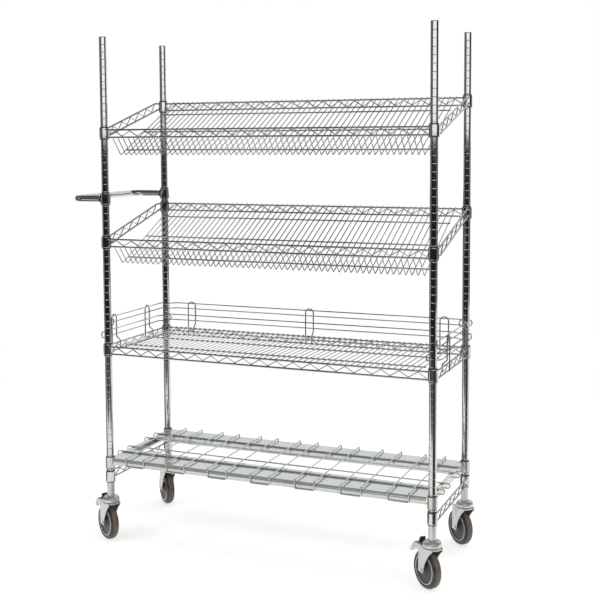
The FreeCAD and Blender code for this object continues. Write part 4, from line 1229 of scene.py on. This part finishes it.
class TROLLEY_OT_stage(bpy.types.Operator):
    """Makes the floor, the painted reflections of the studio's sides, ceiling and highlight panel, the
    lamps, the world and the camera
    """

    bl_idname = "trolley.stage"
    bl_label = "Stage"

    def execute(self, context):
        scene = context.scene
        scene.view_settings.view_transform = "Standard"
        self.floor()
        self.flags()
        self.world(scene)
        self.lamps(scene)
        self.camera(scene)
        return {"FINISHED"}

    @staticmethod
    def sheet(name, corners, faces, material):
        """A flat or bent sheet of the stage."""
        mesh = bpy.data.meshes.new(name)
        mesh.from_pydata(corners, [], faces)
        mesh.materials.append(material)
        panel = bpy.data.objects.new(name, mesh)
        bpy.context.scene.collection.objects.link(panel)
        return panel

    @staticmethod
    def background_ray(tree):
        """One for the rays that see or mirror the background, and nought for the rays that light."""
        path = add_node(tree, "ShaderNodeLightPath", {}).outputs
        seen = {0: path["Is Camera Ray"], 1: path["Is Glossy Ray"]}
        either = add_node(tree, "ShaderNodeMath", seen, operation="MAXIMUM")
        through = {0: either.outputs[0], 1: path["Is Transmission Ray"]}
        return add_node(tree, "ShaderNodeMath", through, operation="MAXIMUM").outputs[0]

    def floor(self):
        """A pale floor that keeps the trolley's shadow and fades to white around it."""
        material = bpy.data.materials.new("studio_floor")
        material.use_nodes = True
        tree = material.node_tree
        shader = tree.nodes["Principled BSDF"]
        shader.inputs["Base Color"].default_value = FLOOR_COLOUR
        shader.inputs["Roughness"].default_value = FLOOR_ROUGHNESS
        glow = add_node(tree, "ShaderNodeEmission", {"Color": WHITE})
        place = add_node(tree, "ShaderNodeTexCoord", {})
        away = add_node(tree, "ShaderNodeVectorMath", {0: place.outputs["Object"]}, operation="LENGTH")
        feeds = {"Value": away.outputs["Value"], "From Min": SHADOW_NEAR, "From Max": SHADOW_FAR,
                 "To Min": SHADOW_PALENESS}
        fade = add_node(tree, "ShaderNodeMapRange", feeds, interpolation_type="SMOOTHSTEP")
        feeds = {0: self.background_ray(tree), 1: fade.outputs["Result"]}
        share = add_node(tree, "ShaderNodeMath", feeds, operation="MULTIPLY")
        feeds = {"Fac": share.outputs[0], 1: shader.outputs["BSDF"], 2: glow.outputs["Emission"]}
        mix = add_node(tree, "ShaderNodeMixShader", feeds)
        tree.links.new(mix.outputs["Shader"], tree.nodes["Material Output"].inputs["Surface"])
        half = FLOOR_SIZE / 2
        corners = [(-half, -half, 0), (half, -half, 0), (half, half, 0), (-half, half, 0)]
        self.sheet("studio_floor", corners, [(0, 1, 2, 3)], material)

    def flag(self, name, colour, corners, faces=None):
        """A plain sheet of one colour that only reflections see: a painted reflection, which glows and
        lights nothing.
        """
        material = bpy.data.materials.new(name)
        material.use_nodes = True
        tree = material.node_tree
        glow = add_node(tree, "ShaderNodeEmission", {"Color": (*colour, 1)})
        tree.links.new(glow.outputs["Emission"], tree.nodes["Material Output"].inputs["Surface"])
        panel = self.sheet(name, corners, faces or [tuple(range(len(corners)))], material)
        panel.visible_camera = False
        panel.visible_diffuse = False
        panel.visible_shadow = False
        panel.visible_transmission = False

    def flags(self):
        """Painted reflections: dark patches on the floor, dark and tinted bands at the sides, a dark ceiling
        and a glowing highlight panel.
        """
        # Painted dark reflections: patches on the floor, seen only in the chrome
        for name, colour, outline in FLOOR_REFLECTION_PATCHES:
            self.flag("studio_floor_reflection_" + name, colour, [(x, y, FLOOR_REFLECTION_HEIGHT) for x, y in outline])
        # Painted reflections: bands of dark and tinted colour around the trolley, seen only in the chrome
        for name, colour, start, stop, foot, top in REFLECTION_BANDS:
            steps = round((stop - start) / REFLECTION_BAND_STEP)
            corners = []
            for k in range(steps + 1):
                share = k / steps
                angle = math.radians(start + (stop - start) * share - 90)
                x = STUDIO_RADIUS * math.cos(angle)
                y = STUDIO_RADIUS * math.sin(angle)
                corners += [(x, y, foot), (x, y, top)]
            faces = [(n, n + 2, n + 3, n + 1) for n in range(0, 2 * steps, 2)]
            self.flag("studio_" + name, colour, corners, faces)
        # Painted dark reflection: a ceiling seen only in the chrome
        half = STUDIO_RADIUS
        square = ((-half, -half), (half, -half), (half, half), (-half, half))
        self.flag("studio_ceiling_reflection", CEILING_REFLECTION_COLOUR, [(x, y, CEILING_HEIGHT) for x, y in square])
        # Painted highlight: a glowing panel seen only in the chrome
        corners = [(x, y, HIGHLIGHT_PANEL_FOOT) for x, y in HIGHLIGHT_PANEL_ENDS]
        corners += [(x, y, HIGHLIGHT_PANEL_TOP) for x, y in reversed(HIGHLIGHT_PANEL_ENDS)]
        self.flag("studio_painted_highlight_panel", HIGHLIGHT_PANEL_COLOUR, corners)

    def world(self, scene):
        """White where it is seen or mirrored, and a plain soft light elsewhere."""
        world = bpy.data.worlds.new("studio")
        scene.world = world
        world.use_nodes = True
        tree = world.node_tree
        soft = tree.nodes["Background"]
        soft.inputs["Color"].default_value = WHITE
        soft.inputs["Strength"].default_value = SOFT_LIGHT
        white = add_node(tree, "ShaderNodeBackground", {"Color": WHITE, "Strength": 1.0})
        feeds = {"Fac": self.background_ray(tree), 1: soft.outputs["Background"],
                 2: white.outputs["Background"]}
        mix = add_node(tree, "ShaderNodeMixShader", feeds)
        tree.links.new(mix.outputs["Shader"], tree.nodes["World Output"].inputs["Surface"])

    @staticmethod
    def lamps(scene):
        """A key from the front left, a fill from the right, a soft top light and one from the rear."""
        for name, place, width, power in LAMPS:
            lamp = bpy.data.lights.new(name, "AREA")
            lamp.size = width
            lamp.energy = power
            holder = bpy.data.objects.new(name, lamp)
            holder.location = place
            holder.rotation_euler = (LAMP_AIM - Vector(place)).to_track_quat("-Z", "Y").to_euler()
            holder.visible_glossy = False
            scene.collection.objects.link(holder)

    @staticmethod
    def camera(scene):
        """The photograph's viewpoint."""
        back = Vector((math.sin(CAMERA_AZIMUTH) * math.cos(CAMERA_ELEVATION),
                       -math.cos(CAMERA_AZIMUTH) * math.cos(CAMERA_ELEVATION), math.sin(CAMERA_ELEVATION)))
        level = Z_AXIS.cross(back).normalized()
        upright = back.cross(level)
        right = level * math.cos(CAMERA_ROLL) + upright * math.sin(CAMERA_ROLL)
        up = upright * math.cos(CAMERA_ROLL) - level * math.sin(CAMERA_ROLL)
        lens = bpy.data.cameras.new("photo_camera")
        lens.lens = CAMERA_LENS
        lens.sensor_width = CAMERA_SENSOR
        lens.shift_x, lens.shift_y = CAMERA_SHIFT
        lens.clip_end = CAMERA_REACH
        holder = bpy.data.objects.new("photo_camera", lens)
        turn = Matrix((right, up, back)).transposed().to_4x4()
        holder.matrix_world = Matrix.Translation(CAMERA_PLACE) @ turn
        scene.collection.objects.link(holder)
        scene.camera = holder


# Panel and registration

OPERATORS = (TROLLEY_OT_posts, TROLLEY_OT_trusses, TROLLEY_OT_decks, TROLLEY_OT_ledges, TROLLEY_OT_base,
             TROLLEY_OT_handle, TROLLEY_OT_castors, TROLLEY_OT_stage)


class TROLLEY_PT_panel(bpy.types.Panel):
    """Lists the trolley's pieces, sizes and colours"""

    bl_idname = "TROLLEY_PT_panel"
    bl_label = "Order picking trolley"
    bl_space_type = "VIEW_3D"
    bl_region_type = "UI"
    bl_category = "Trolley"

    def draw(self, context):
        for operator in OPERATORS:
            self.layout.operator(operator.bl_idname)
        for group in (context.scene.trolley_sizes, context.scene.trolley_colours):
            column = self.layout.column()
            for key in group.__annotations__:
                column.prop(group, key)


CLASSES = (TrolleySizes, TrolleyColours) + OPERATORS + (TROLLEY_PT_panel,)


def register():
    for cls in CLASSES:
        bpy.utils.register_class(cls)
    bpy.types.Scene.trolley_sizes = PointerProperty(type=TrolleySizes)
    bpy.types.Scene.trolley_colours = PointerProperty(type=TrolleyColours)


def unregister():
    del bpy.types.Scene.trolley_colours
    del bpy.types.Scene.trolley_sizes
    for cls in reversed(CLASSES):
        bpy.utils.unregister_class(cls)


def main():
    """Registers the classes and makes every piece."""
    register()
    bpy.ops.trolley.posts()
    bpy.ops.trolley.trusses()
    bpy.ops.trolley.decks()
    bpy.ops.trolley.ledges()
    bpy.ops.trolley.base()
    bpy.ops.trolley.handle()
    bpy.ops.trolley.castors()
    bpy.ops.trolley.stage()


if __name__ == "__main__":
    main()
